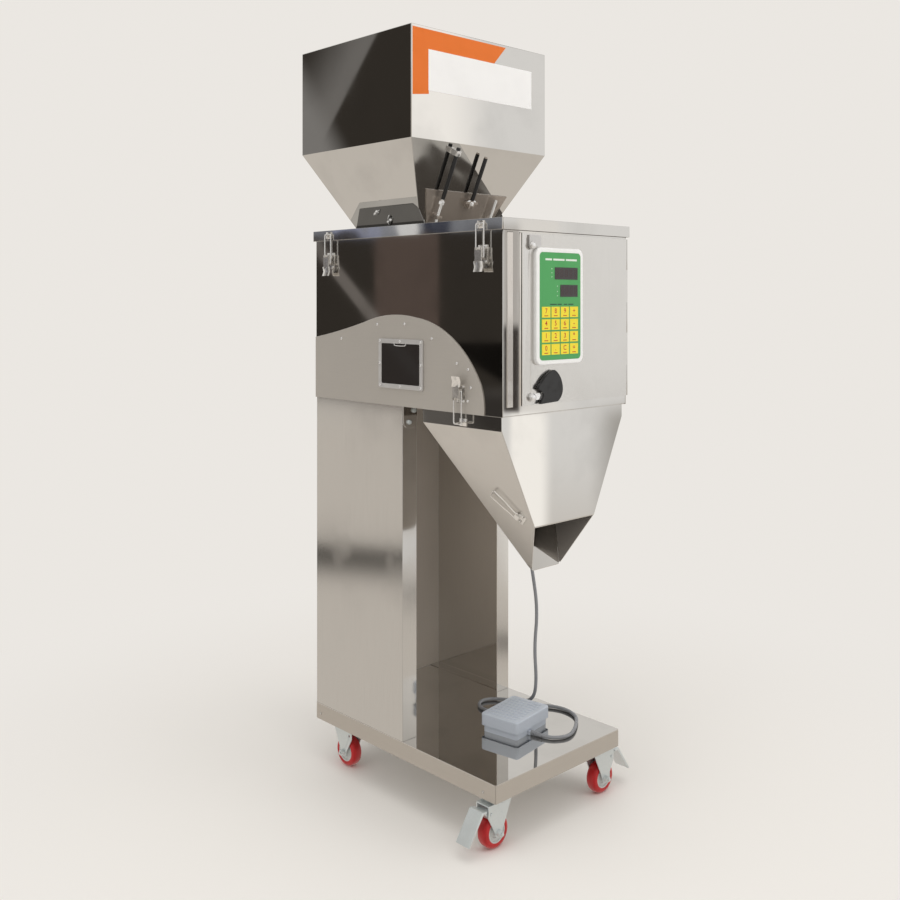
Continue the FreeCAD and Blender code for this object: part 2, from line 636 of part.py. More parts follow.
def make_housing_shell():
    """Side and rear walls folded from one sheet, with the leaf of the door hinge on the right."""
    body = new_body("housing_shell")
    front, back = "-housing_front", "rear_face - sheet_thick"
    corners = [
        ("-side", front), ("-inside", front), ("-inside", back), ("inside", back), ("inside", front),
        ("side", front), ("side", "rear_face"), ("-side", "rear_face"),
    ]
    pad(body, "top", "floor_low", "wall_top - floor_low", corners)
    hole(body, "side", "-side", "sheet_thick", glass_rectangle())
    hole(body, "front", "rear_face - sheet_thick", "sheet_thick", inlet_rectangle("0", "0"))
    pad(body, "side", "side", "hinge_leaf",
        rectangle("leaf_front", "door_low", "leaf_front + leaf_wide", "door_high"))
    for share in (0, 2, 4):
        low, high = knuckle_ends(share)
        pad(body, "side", "side", "hinge_leaf", rectangle("hinge_y", low, "leaf_front", high))
        pad(body, "top", low, f"{high} - ({low})", ("hinge_x", "hinge_y", "hinge_round / 2"))


def make_housing_floor():
    """Floor with the mouth of the chute and the two tabs that are bolted to the column."""
    body = new_body("housing_floor")
    pad(body, "top", "floor_low", "sheet_thick",
        rectangle("-inside", "-housing_front + sheet_thick", "inside", "rear_face - sheet_thick"))
    hole(body, "top", "floor_low", "sheet_thick",
         rectangle("-(chute_half - sheet_thick)", "-(chute_front - sheet_thick)",
                   "chute_half - sheet_thick", "-(chute_back + sheet_thick)"))
    hole(body, "top", "floor_low", "sheet_thick", ("gland_x", "gland_y", "gland_round / 2"))
    low = "floor_low - tab_long"
    tabs = (("column_left_front", "-inside", "-(side - flange_wide)"),
            ("column_right_front", "side - flange_wide", "inside"))
    for front, first, last in tabs:
        corners = [
            (first, "floor_low"), (first, f"{low} + tab_round", "tab_round", 1),
            (f"{first} + tab_round", low), (f"{last} - tab_round", low, "tab_round", 1),
            (last, f"{low} + tab_round"), (last, "floor_low"),
        ]
        pad(body, "front", f"{front} - tab_thick", "tab_thick", corners)


def make_front_frame():
    """Sheet behind the door, with raised folds at the left."""
    body = new_body("front_frame")
    opening = rectangle("door_left + door_lap", "door_low + door_lip",
                        "inside - frame_stile", "door_high - door_lip")
    pad(body, "front", "-housing_front", "sheet_thick",
        rectangle("-inside", "floor_high", "inside", "wall_top"), opening)
    pad(body, "front", "-housing_front - sheet_thick", "sheet_thick",
        rectangle("rib_left", "door_low", "rib_left + rib_wide", "door_high"))
    pad(body, "front", "-housing_front - sheet_thick", "sheet_thick",
        rectangle("door_left - 2 * narrow_fold", "door_low", "door_left - narrow_fold", "door_high"))


def make_lid():
    body = new_body("lid")
    front = "housing_front + sheet_thick + lid_lap"
    pad(body, "top", "lid_low", "lid_tall",
        rectangle("-(side + lid_lap)", f"-({front})", "side + lid_lap", "rear_face + lid_lap"))
    round_edges(body, "2 * sheet_thick", along(Z))
    pocket(body, "top", "lid_low - cut_over", "wall_top - lid_low + cut_over",
           rectangle("-(side + lid_lap - sheet_thick)", f"-({front} - sheet_thick)",
                     "side + lid_lap - sheet_thick", "rear_face + lid_lap - sheet_thick"))
    hole(body, "top", "wall_top", "sheet_thick",
         rectangle("-(funnel_half + funnel_gap)", "funnel_front - gate_room",
                   "funnel_half + funnel_gap", "funnel_back + funnel_gap"))


# Hopper and its gate

def funnel_rectangle(level, inset):
    """The funnel's outline at its lower end or at the bin, less an inset."""
    if level == "throat_base":
        return rectangle(f"-(throat_half - {inset})", f"throat_front + {inset}",
                         f"throat_half - {inset}", f"throat_back - {inset}")
    return rectangle(f"-(bin_half - {inset})", f"-(bin_front - {inset})",
                     f"bin_half - {inset}", f"bin_back - {inset}")


def make_hopper():
    """Square bin over a tapering funnel, open at both ends, with an outlet behind the gate."""
    body = new_body("hopper")
    levels = ("throat_base", "bin_base")
    loft(body, "Additive", [(level, funnel_rectangle(level, "0")) for level in levels])
    pad(body, "top", "bin_base", "bin_top - bin_base", funnel_rectangle("bin_base", "0"))
    loft(body, "Subtractive", [(level, funnel_rectangle(level, "sheet_thick")) for level in levels])
    pocket(body, "top", "bin_base", "bin_top - bin_base - sheet_thick",
           funnel_rectangle("bin_base", "sheet_thick"))
    pocket(body, "top", "bin_base", "bin_top - bin_base + cut_over", funnel_rectangle("bin_base", "rim_wide"))
    pocket(body, "front", "throat_front - gate_slot", "gate_slot + 2 * cut_over",
           rectangle("-(throat_half - outlet_margin)", "throat_base + outlet_lip",
                     "throat_half - outlet_margin", "throat_base + gate_slot"))


def front_tilt():
    """The turn that lays a sub-part on the funnel's sloping front, its Y into the funnel."""
    return Rotation(X, math.degrees(math.atan(number("front_slope"))))


def make_gate_plate():
    """Sloping gate with a lug for each guide rod and a sleeved pull rod."""
    body = new_body("gate_plate")
    corners = [
        ("-gate_low_half", "gate_foot"), ("gate_low_half", "gate_foot"),
        ("gate_high_half", "gate_tall"), ("-gate_high_half", "gate_tall"),
    ]
    back = "-(gate_gap + gate_thick)"
    pad(body, "front", back, "gate_thick", corners)
    for x, low in (("-guide_x", "lug_left_z"), ("guide_x", "lug_right_z")):
        pad(body, "top", low, "lug_tall",
            rectangle(f"{x} - rod_round", "-(rod_reach + rod_round)", f"{x} + rod_round", back))
        hole(body, "top", low, "lug_tall", (x, "-rod_reach", "rod_round / 2 + pin_fit"))
    pad(body, "top", "gate_tall - block_drop", "block_tall",
        rectangle("pull_x - rod_round", "-(rod_reach + rod_round / 2)", "pull_x + rod_round", back))
    pad(body, "top", "gate_tall - block_drop + block_tall", "wing_tall",
        rectangle("pull_x - wing_long / 2", "-(rod_reach + wing_thick / 2)",
                  "pull_x + wing_long / 2", "-(rod_reach - wing_thick / 2)"))
    pad(body, "top", "gate_tall - pull_sink", "pull_long", ("pull_x", "-rod_reach", "rod_round / 2"))
    set_place(body, "0", "throat_front", "throat_base", front_tilt())


def make_guide_rod(x, length, bracket):
    """A rod with a collar on the lid, and for the long one a bracket under the bin."""
    reach, radius = number("rod_reach"), number("rod_round / 2")
    low = number("lid_top - throat_base - rod_sink")
    rod = Part.makeCylinder(radius, length, Vector(x, -reach, low))
    if bracket:
        size = 3.2 * radius
        corner = Vector(x - size / 2, -reach - size / 2, low + length - size)
        rod = rod.fuse(Part.makeBox(size, reach + size / 2, size, corner)).removeSplitter()
    lean = Placement(Vector(0, number("throat_front"), number("throat_base")), front_tilt())
    rod.Placement = lean
    start, axis = lean.multVec(Vector(x, -reach, 0)), lean.Rotation.multVec(Z)
    landing = start + axis * ((number("lid_top") - start.z) / axis.z)
    collar = Part.makeCylinder(2 * radius, number("rod_collar"), landing)
    return rod.fuse(collar).cut(below_lid()).removeSplitter()


def below_lid():
    """A block that fills the space under the lid's top, for trimming what stands on it."""
    wide, high = number("4 * side"), number("lid_top")
    return Part.makeBox(wide, wide, high, Vector(-wide / 2, -wide / 2, 0))


def make_gate_guides():
    """A long and a short guide rod that stand on the lid; the long one is held under the bin."""
    long_rod = make_guide_rod(-number("guide_x"), number("guide_long"), True)
    short_rod = make_guide_rod(number("guide_x"), number("guide_short"), False)
    group("gate_guides", [long_rod, short_rod])


def make_saddle_plates():
    """A sloping plate on each side of the funnel, folded to a foot on the lid."""
    lean = math.atan2(number("bin_half - throat_half"), number("bin_base - throat_base"))
    thick, gap, corner = number("sheet_thick"), number("saddle_gap"), number("saddle_corner")
    front, back = number("funnel_front - saddle_ahead"), number("funnel_back + saddle_behind")
    low = number("lid_top - throat_base") / math.cos(lean)
    high = number("lid_top + saddle_tall - throat_base") / math.cos(lean)
    points = [
        (front, low - corner / 2), (back, low - corner / 2), (back - corner, low + corner / 2),
        (back - number("saddle_slope"), high), (front + corner, high), (front, high - corner),
    ]
    face = Part.Face(Part.makePolygon([Vector(-gap, y, z) for y, z in points + points[:1]]))
    plate = face.extrude(Vector(-thick, 0, 0))
    lean_out = Rotation(Y, -math.degrees(lean))
    plate.Placement = Placement(Vector(-number("throat_half"), 0, number("throat_base")), lean_out)
    foot_wide = number("saddle_foot")
    edge = -number("funnel_half") - gap - thick / 2 - foot_wide
    foot = Part.makeBox(foot_wide, back - front, thick, Vector(edge, front, number("lid_top")))
    left = plate.fuse(foot).cut(below_lid()).removeSplitter()
    group("saddle_plates", [left, left.mirror(Vector(0, 0, 0), X)])


# Chute

def chute_rectangle(level, inset):
    if level == "band_low":
        return rectangle(f"-(chute_half - {inset})", f"-(chute_front - {inset})",
                         f"chute_half - {inset}", f"-(chute_back + {inset})")
    return rectangle(f"-(chute_tip_half - {inset})", f"-(chute_front - {inset})",
                     f"chute_tip_half - {inset}", f"-(chute_tip_back + {inset})")


def make_chute():
    """A sheet funnel with an upright front, an outlet that faces forward and a rounded tongue behind it."""
    body = new_body("chute")
    levels = ("chute_low", "band_low")
    loft(body, "Additive", [(level, chute_rectangle(level, "0")) for level in levels])
    pad(body, "top", "band_low", "chute_band", chute_rectangle("band_low", "0"))
    loft(body, "Subtractive", [(level, chute_rectangle(level, "sheet_thick")) for level in levels])
    pocket(body, "top", "band_low", "chute_band + cut_over", chute_rectangle("band_low", "sheet_thick"))
    front, under = "-chute_front - cut_over", "chute_low - cut_over"
    outlet = [
        (front, "notch_high"), ("-chute_front", "notch_high"), ("-chute_front + notch_run", "notch_foot"),
        ("-chute_front + notch_run", under), (front, under),
    ]
    pocket(body, "side", "-chute_half", "2 * chute_half", outlet)
    ends = [
        ("-side", under), ("side", under), ("side", "tongue_high"),
        ("tongue_half", "tongue_high", "tongue_round", -1), ("0", "chute_low", "tongue_round", -1),
        ("-tongue_half", "tongue_high"), ("-side", "tongue_high"),
    ]
    pocket(body, "front", front, "chute_front - chute_back", ends)


# Side cover and window

def make_side_covers():
    """Domed satin plates on the housing sides; the left one has the window's opening."""
    corners = [
        ("-cover_front", "floor_low"), ("rear_face", "floor_low"),
        ("rear_face", "cover_back_high", "cover_sweep", -1),
        ("cover_shoulder", "cover_shoulder_high", "cover_crown", 1),
        ("-cover_peak", "cover_high", "cover_brow", 1),
        ("-cover_front + cover_toe", "cover_nose", "cover_nose_round", 1),
    ]
    left = doc.addObject("PartDesign::Body", "cover_left")
    pad(left, "side", "-side - cover_thick", "cover_thick", corners, glass_rectangle())
    right = doc.addObject("PartDesign::Body", "cover_right")
    pad(right, "side", "side", "cover_thick", corners)
    pair = doc.addObject("Part::Compound", "side_covers")
    pair.Links = [left, right]
    keep(pair, "side_covers")


def make_window():
    frame = new_body("window_frame")
    outer = rectangle("window_y - window_wide / 2", "window_z - window_tall / 2",
                      "window_y + window_wide / 2", "window_z + window_tall / 2")
    face = "-side - cover_thick - frame_thick"
    pad(frame, "side", face, "frame_thick", outer, glass_rectangle())
    round_edges(frame, "frame_round", along(X))
    pane = new_body("window_pane")
    pad(pane, "side", f"{face} + pane_set", "pane_thick", glass_rectangle())
    round_edges(pane, "frame_round", along(X))


# Front door with its control panel

def make_front_door():
    body = new_body("front_door")
    pad(body, "front", "door_face", "sheet_thick", rectangle("door_left", "door_low", "side", "door_high"))
    for z in ("turn_low_z", "turn_high_z"):
        hole(body, "front", "door_face", "sheet_thick", ("turn_x", z, "turn_round / 2 + pin_fit"))
    for share in (1, 3):
        low, high = knuckle_ends(share)
        long = f"{high} - ({low})"
        pad(body, "top", low, long, rectangle("side - narrow_fold", "door_face", "hinge_x", "door_back"))
        pad(body, "top", low, long, ("hinge_x", "hinge_y", "hinge_round / 2"))


def panel_rectangle(inset):
    return rectangle(f"panel_left + ({inset})", f"panel_low + ({inset})",
                     f"panel_right - ({inset})", f"panel_high - ({inset})")


def make_control_panel():
    """Bezel, printed foil, display windows and keys, all carried by the door."""
    bezel = new_body("control_bezel")
    pad(bezel, "front", "panel_face", "panel_thick", panel_rectangle("0"))
    round_edges(bezel, "panel_round", along(Y))
    level = number("panel_face")
    round_edges(bezel, "bezel_edge", lambda e: all(abs(v.Y - level) < 0.01 for v in e.Vertexes))
    pocket(bezel, "front", "panel_face", "overlay_seat", panel_rectangle("overlay_margin"))
    deep = number("overlay_seat") + 0.01
    round_edges(bezel, "overlay_round", lambda edge: along(Y)(edge) and edge.Length < deep)
    overlay = new_body("control_overlay")
    pad(overlay, "front", "panel_face + overlay_seat - overlay_thick", "overlay_thick",
        panel_rectangle("overlay_margin + overlay_fit"))
    round_edges(overlay, "overlay_round", along(Y))
    face = number("panel_face + overlay_seat - overlay_thick")
    keys = []
    for column in range(4):
        for rank in range(4):
            corner = Vector(number("keys_left") + column * number("key_pitch_x"), face - number("key_thick"),
                            number("keys_low") + rank * number("key_pitch_z"))
            keys.append(Part.makeBox(number("key_wide"), number("key_thick"), number("key_tall"), corner))
    group("keypad_keys", keys)
    windows = []
    for left, low in (("display_one_x", "display_one_z"), ("display_two_x", "display_two_z")):
        wide = number("display_right") - number(left)
        corner = Vector(number(left), face - number("key_thick"), number(low))
        windows.append(Part.makeBox(wide, number("key_thick"), number("display_tall"), corner))
    group("display_windows", windows)


def make_turn_buttons():
    """Two quarter-turn catches in the door: a tab above and a gripped handle below."""
    washer = "door_face - washer_back"
    cam_level = "-housing_front + sheet_thick + cam_gap"
    for label, z in (("upper_turn_tab", "turn_high_z"), ("lower_turn_handle", "turn_low_z")):
        body = new_body(label)
        upper = label == "upper_turn_tab"
        pad(body, "front", washer, f"{cam_level} + cam_thick - ({washer})", ("0", "0", "turn_round / 2"))
        pad(body, "front", washer, "washer_thick", ("0", "0", "turn_round"))
        right, high = ("turn_round / 2", "cam_long") if upper else ("cam_long", "turn_round / 2")
        cam = rectangle("-turn_round / 2", "-turn_round / 2", right, high)
        pad(body, "front", cam_level, "cam_thick", cam)
        if upper:
            tab = rectangle("-turn_round", "-3", "tab_reach", "tab_high")
            pad(body, "front", washer, "washer_thick", tab)
            reach = number("tab_reach")
            round_edges(body, "tab_edge", lambda edge: along(Y)(edge) and edge.CenterOfMass.x > reach - 0.1)
        else:
            pad(body, "front", washer, "washer_thick", rectangle("0", "-5", "grip_start + 6", "7"))
            grip = [
                ("grip_start - 10", "-13"), ("grip_start + 37", "-11", "26", 1),
                ("grip_start + 51", "19", "40", 1), ("grip_start + 29", "48", "60", 1),
                ("grip_start - 8", "24", "9", 1), ("grip_start - 15", "14", "20", -1),
                ("grip_start - 1", "2"),
            ]
            pad(body, "front", "door_face - turn_reach", "turn_reach - washer_back / 2", grip)
        set_place(body, "turn_x", "0", z)


def make_control_board():
    """Circuit board on four posts behind the key foil, with its transformer and terminal row."""
    body = new_body("control_board")
    face = "-housing_front + board_set"
    back = f"{face} + board_thick"
    left, right = "panel_left + board_inset", "panel_right - board_inset / 2"
    low, high = "panel_low + board_inset", "panel_high - board_inset"
    pad(body, "front", face, "board_thick", rectangle(left, low, right, high))
    for x in (f"{left} + post_round", f"{right} - post_round"):
        for z in (f"{low} + post_round", f"{high} - post_round"):
            pad(body, "front", "door_back", f"{face} - door_back", (x, z, "post_round / 2"))
    chip_x, chip_z = f"{left} + chip_wide / 2", f"{low} + chip_tall * 1.5"
    pad(body, "front", back, "chip_wide / 3",
        rectangle(chip_x, chip_z, f"{chip_x} + chip_wide", f"{chip_z} + chip_tall"))
    row_x, row_wide = f"{right} - chip_wide", "chip_wide * 0.4"
    pad(body, "front", back, "chip_tall / 4",
        rectangle(row_x, f"{low} + chip_tall", f"{row_x} + {row_wide}", f"{low} + chip_tall * 3.5"))


# Casters

def place_caster(item, x, y, yaw):
    """A caster's own X is the way its wheel trails."""
    set_place(item, x, y, "0", Rotation(Z, yaw))


def make_caster_plates():
    """Four bolted plates with their kingpins."""
    solids = []
    high, pin = number("caster_tall"), number("kingpin_round / 2")
    size = Vector(number("caster_plate_long"), number("caster_plate_wide"), number("caster_plate_thick"))
    for x in ("-caster_x", "caster_x"):
        for y in ("caster_front", "caster_back"):
            middle = Vector(number(x), number(y), high - size.z)
            plate = Part.makeBox(size.x, size.y, size.z, middle - Vector(size.x / 2, size.y / 2, 0))
            low, head_tall = number("crown_low - knuckle_gap"), pin * 0.6
            post = Part.makeCylinder(pin, middle.z - low, Vector(middle.x, middle.y, low))
            head = Part.makeCylinder(pin * 1.6, head_tall, Vector(middle.x, middle.y, low - head_tall))
            solids.append(plate.fuse([post, head]).removeSplitter())
    group("caster_plates", solids)


def make_fork(label, x, y, yaw):
    """Swivel head, two legs with brake ears and the axle bolt."""
    body = new_body(label)
    pad(body, "top", "crown_low", "crown_tall", ("0", "0", "crown_round / 2"))
    pad(body, "top", "crown_low", "fork_thick", rectangle("-bridge_back", "-fork_out", "ear_x", "fork_out"))
    leg = [
        ("-bridge_back", "crown_low"), ("trail - leg_round", "wheel_r", "leg_round", 1),
        ("trail", "wheel_r - leg_round", "leg_round", 1), ("trail + leg_round", "wheel_r"),
        ("ear_x", "ear_low"), ("ear_x", "crown_low + fork_thick"),
        ("-bridge_back", "crown_low + fork_thick"),
    ]
    for level in ("-fork_out", "fork_in"):
        pad(body, "front", level, "fork_thick", leg)
    pad(body, "front", "-fork_out", "2 * fork_out", ("trail", "wheel_r", "axle_round / 2"))
    for level in ("-fork_out - axle_round / 2", "fork_out"):
        pad(body, "front", level, "axle_round / 2", ("trail", "wheel_r", "axle_round * 0.8"))
    hole(body, "top", "crown_low", "crown_tall", ("0", "0", "kingpin_round / 2 + pin_fit"))
    brake_hole = ("brake_pin_x", "brake_pin_z", "brake_pin_round / 2 + pin_fit")
    hole(body, "front", "-fork_out", "2 * fork_out", brake_hole)
    place_caster(body, x, y, yaw)


def make_wheel(label, x, y, yaw):
    """Tyre, dished hub and boss in one turned outline."""
    body = new_body(label)
    half, dish = "wheel_wide / 2", "wheel_wide / 2 - hub_dish"
    bore, boss = "axle_round / 2 + axle_fit", "fork_in - 0.4"
    side_one = [
        (boss, bore), (boss, "axle_round * 0.9"), (dish, "axle_round * 1.1"), (dish, "hub_round / 2 - 3"),
        (half, "hub_round / 2"), (half, "wheel_r - tread_round", "tread_round", 1),
        (f"{half} - tread_round", "wheel_r"),
    ]
    side_two = [
        (f"-({half} - tread_round)", "wheel_r", "tread_round", 1), (f"-({half})", "wheel_r - tread_round"),
        (f"-({half})", "hub_round / 2"), (f"-({dish})", "hub_round / 2 - 3"),
        (f"-({dish})", "axle_round * 1.1"), (f"-({boss})", "axle_round * 0.9"), (f"-({boss})", bore),
    ]
    revolve(body, "side", side_one + side_two, "H_Axis")
    turn = Rotation(Z, yaw)
    reach = turn.multVec(Vector(number("trail"), 0, 0))
    body.Placement = Placement(Vector(number(x), number(y), number("wheel_r")) + reach, turn)


def make_brake(label, x, y, yaw):
    """Foot brake: a tongue between the ears, a shoe over the tread and a wide pedal."""
    body = new_body(label)
    pin_x, pin_z = "brake_pin_x", "brake_pin_z"
    tongue = [
        (f"{pin_x} - 6", f"{pin_z} + 2"), (f"{pin_x} - 5", f"{pin_z} - 6"),
        (f"{pin_x} + 0.5", f"{pin_z} - 11.5"), (f"{pin_x} + 9", f"{pin_z} - 2"),
        (f"{pin_x} + 17", f"{pin_z} + 6"), (f"{pin_x} + 14", f"{pin_z} + 9"),
    ]
    pad(body, "front", "-fork_in + cut_over", "2 * (fork_in - cut_over)", tongue)
    pad(body, "front", "-fork_out - 1.5", "2 * fork_out + 3", (pin_x, pin_z, "brake_pin_round / 2"))
    start_x, start_z = f"{pin_x} + 12", f"{pin_z} + 6"
    pedal = [
        (start_x, start_z), (f"{start_x} + 8", f"{start_z} + 1"),
        (f"{start_x} + brake_out", f"{start_z} - brake_drop"),
        (f"{start_x} + brake_out + 2.5", f"{start_z} - brake_drop + 1.5"),
        (f"{start_x} + 11", f"{start_z} + 5"), (start_x, f"{start_z} + 3"),
    ]
    pad(body, "front", "-brake_wide / 2", "brake_wide", pedal)
    place_caster(body, x, y, yaw)


CASTERS = [
    ("front_left", "-caster_x", "caster_front", 180, True),
    ("front_right", "caster_x", "caster_front", 0, True),
    ("rear_left", "-caster_x", "caster_back", -90, False),
    ("rear_right", "caster_x", "caster_back", -90, False),
]


# Toggle latches: own X points away from the wall and own Z towards the keeper

def latch_turn(side, upside_down):
    if upside_down:
        return Rotation(Y, 180) if side < 0 else Rotation(X, 180)
    return Rotation(Z, 180) if side < 0 else Rotation()


def latch_places():
    """Name, wall side, place of the lever pin's foot, turn, and where the keeper's sheet lies."""
    places = []
    for name, side in (("left", -1), ("right", 1)):
        for spot, y in (("rear", "latch_rear_y"), ("front", "latch_front_y")):
            wall = "side" if side > 0 else "-side"
            places.append((f"{name}_{spot}", (wall, y, "latch_lid_pin"), latch_turn(side, False), "lid_lap"))
        wall = "side + cover_thick" if side > 0 else "-side - cover_thick"
        places.append((f"{name}_chute", (wall, "latch_chute_y", "latch_chute_pin"), latch_turn(side, True),
                       "chute_half - side - cover_thick"))
    return places


def latch_base():
    """Base plate with two ears and the lever's pin."""
    out, thick = number("latch_pin_out"), number("sheet_thick")
    wide, tall, rise = number("latch_wide"), number("latch_tall"), number("base_rise")
    ear = number("ear_thick")
    plate = Part.makeBox(thick, wide, tall, Vector(0, -wide / 2, rise - tall))
    ears = []
    for y in (-number("ear_half"), number("ear_half") - thick):
        ears.append(Part.makeBox(out, thick, 2 * ear, Vector(0, y, -ear)))
        ears.append(Part.makeCylinder(ear, thick, Vector(out, y, 0), Y))
    half = number("lever_wide") / 2
    pin = Part.makeCylinder(number("latch_pin_round / 2"), 2 * half, Vector(out, -half, 0), Y)
    return plate.fuse(ears + [pin]).removeSplitter()


def latch_keeper(sheet_out):
    """Keeper plate whose tongue ends in a low lip outside the bail's bar."""
    thick, half, lip = number("sheet_thick"), number("keeper_half"), number("lip_thick")
    seat = number("latch_reach - latch_throw - wire_round / 2 - pin_fit")
    low = seat - number("keeper_drop")
    plate = Part.makeBox(thick, 4 * half, number("keeper_tall"), Vector(sheet_out, -2 * half, low))
    outer = number("latch_pin_out + keeper_reach")
    tongue = Part.makeBox(outer - sheet_out, 2 * half, thick, Vector(sheet_out, -half, seat - thick))
    edge = Part.makeBox(lip, 2 * half, thick + number("lip_rise"), Vector(outer - lip, -half, seat - thick))
    return plate.fuse([tongue, edge]).removeSplitter()


def make_latch_fixings():
    fixings = []
    for _, place, turn, sheet_out in latch_places():
        here = Placement(Vector(*[number(text) for text in place]), turn)
        for shape in (latch_base(), latch_keeper(number(sheet_out))):
            shape.Placement = here
            fixings.append(shape)
    group("latch_fixings", fixings)


def make_lever(name, place, turn):
    """Bent lever: two cheeks on the pin, a web outside them and a wider curled tip."""
    body = new_body(f"latch_lever_{name}")
    out = "latch_pin_out"
    face = f"{out} + web_out"
    cheek = rectangle(f"{out} - cheek_rise", "-(latch_throw + 3.5)", face, "cheek_rise")
    for level in ("-lever_wide / 2", "lever_wide / 2 - sheet_thick"):
        pad(body, "front", level, "sheet_thick", cheek)
    web = [
        (face, "-web_drop"), (f"{face} - sheet_thick", "-web_drop"),
        (f"{face} - sheet_thick", "-(latch_throw + 8)"), (f"{face} - 4", "-(lever_long - 8)"),
        (f"{face} - 2", "-lever_long"), (f"{face} + 1", "-lever_long - 1"),
        (f"{face} - 2", "-(lever_long - 8)"), (face, "-(latch_throw + 8)"),
    ]
    pad(body, "front", "-lever_wide / 2", "lever_wide", web)
    pad(body, "front", "-lever_tip / 2", "lever_tip", web[2:])
    for level, radius in (("0", "latch_pin_round / 2"), ("-latch_throw", "wire_round / 2")):
        pocket(body, "front", "-lever_wide", "2 * lever_wide", (out, level, f"{radius} + pin_fit / 2"))
    set_place(body, *place, turn)


def make_bail(name, place, turn):
    """Wire bail with ends that turn in through the lever's cheeks."""
    body = new_body(f"latch_bail_{name}")
    low, high = "-latch_throw", "latch_reach - latch_throw"
    spine = new_sketch(body, "side", "latch_pin_out")
    end_in = "lever_wide / 2 - sheet_thick - knuckle_gap"
    half, inner = number("bail_half"), number(end_in)
    points = [Vector(-inner, number(low), 0), Vector(-half, number(low), 0), Vector(-half, number(high), 0),
              Vector(half, number(high), 0), Vector(half, number(low), 0), Vector(inner, number(low), 0)]
    bend, tight = number("wire_round * 1.3"), number("wire_round * 0.58")
    for edge in bent_edges(points, [tight, bend, bend, tight]):
        spine.addGeometry(edge, False)
    section = new_sketch(body, "front", f"-({end_in})")
    draw_circle(section, "latch_pin_out", low, "wire_round / 2")
    pipe = body.newObject("PartDesign::AdditivePipe", "Pipe")
    pipe.Profile = section
    pipe.Spine = (spine, [])
    doc.recompute()
    set_place(body, *place, turn)


def bent_edges(points, radii):
    """Straight runs joined by tangent arcs, as separate curves."""
    edges = []
    start = points[0]
    for corner, following, radius in zip(points[1:-1], points[2:], radii):
        back = (start - corner).normalize()
        ahead = (following - corner).normalize()
        half_turn = (math.pi - back.getAngle(ahead)) / 2
        cut = radius * math.tan(half_turn)
        first, last = corner + back * cut, corner + ahead * cut
        bisector = (back + ahead).normalize()
        middle = corner + bisector * (radius / math.cos(half_turn) - radius)
        edges.append(Part.LineSegment(start, first))
        edges.append(Part.Arc(first, middle, last))
        start = last
    edges.append(Part.LineSegment(start, points[-1]))
    return edges


# Dosing works inside the housing

def make_feeder():
    """Stand, magnet block, leaf springs and vibrating trough."""
    stand = new_body("feeder_stand")
    front, back = "stand_front + stand_thick", "stand_back - stand_thick"
    under = "stand_high - stand_thick"
    corners = [
        ("stand_front", "floor_high"), (front, "floor_high"), (front, under), (back, under),
        (back, "floor_high"), ("stand_back", "floor_high"), ("stand_back", "stand_high"),
        ("stand_front", "stand_high"),
    ]
    pad(stand, "side", "-stand_half", "2 * stand_half", corners)
    magnet = new_body("feeder_magnet")
    pad(magnet, "top", "stand_high", "magnet_tall",
        rectangle("-magnet_half", "stand_front + spring_inset", "magnet_half", "stand_back - spring_inset"))
    middle = "(stand_front + stand_back) / 2"
    pad(magnet, "top", "stand_high + magnet_tall", "core_tall", ("0", middle, "core_round / 2"))
    group("feeder_springs", leaf_springs())
    trough = new_body("feeder_trough")
    inside = "trough_half - trough_wall"
    profile = [
        ("-trough_half", "trough_low"), ("trough_half", "trough_low"), ("trough_half", "trough_high"),
        (inside, "trough_high"), (inside, "trough_low + trough_wall"),
        (f"-({inside})", "trough_low + trough_wall"), (f"-({inside})", "trough_high"),
        ("-trough_half", "trough_high"),
    ]
    pad(trough, "front", "-trough_front", "trough_front + throat_back + trough_behind", profile)
    pad(trough, "front", "throat_back + trough_behind - trough_wall", "trough_wall",
        rectangle("-trough_half", "trough_low", "trough_half", "trough_high"))
    pad(trough, "top", "trough_low - lug_drop", "lug_drop",
        rectangle("-lug_half", f"stand_front + spring_inset - spring_lean", "lug_half",
                  "stand_back - spring_inset - spring_lean"))


def leaf_springs():
    """Two leaning leaves, clamped to the magnet's foot below and to the trough's block above."""
    base, rise = number("stand_high"), number("trough_low - lug_drop - stand_high")
    thick, lean, grip = number("spring_thick"), number("spring_lean"), number("spring_grip")
    half = number("spring_half")
    springs = []
    for y in (number("stand_front + spring_inset - spring_thick"), number("stand_back - spring_inset")):
        points = [
            (0, thick), (thick, thick), (thick, grip + 1), (thick - lean, rise),
            (thick - lean, rise + grip - 1), (-lean, rise + grip - 1), (-lean, rise - 1), (0, grip),
        ]
        face = Part.Face(Part.makePolygon([Vector(-half, y + a, base + b) for a, b in points + points[:1]]))
        springs.append(face.extrude(Vector(2 * half, 0, 0)))
    return springs


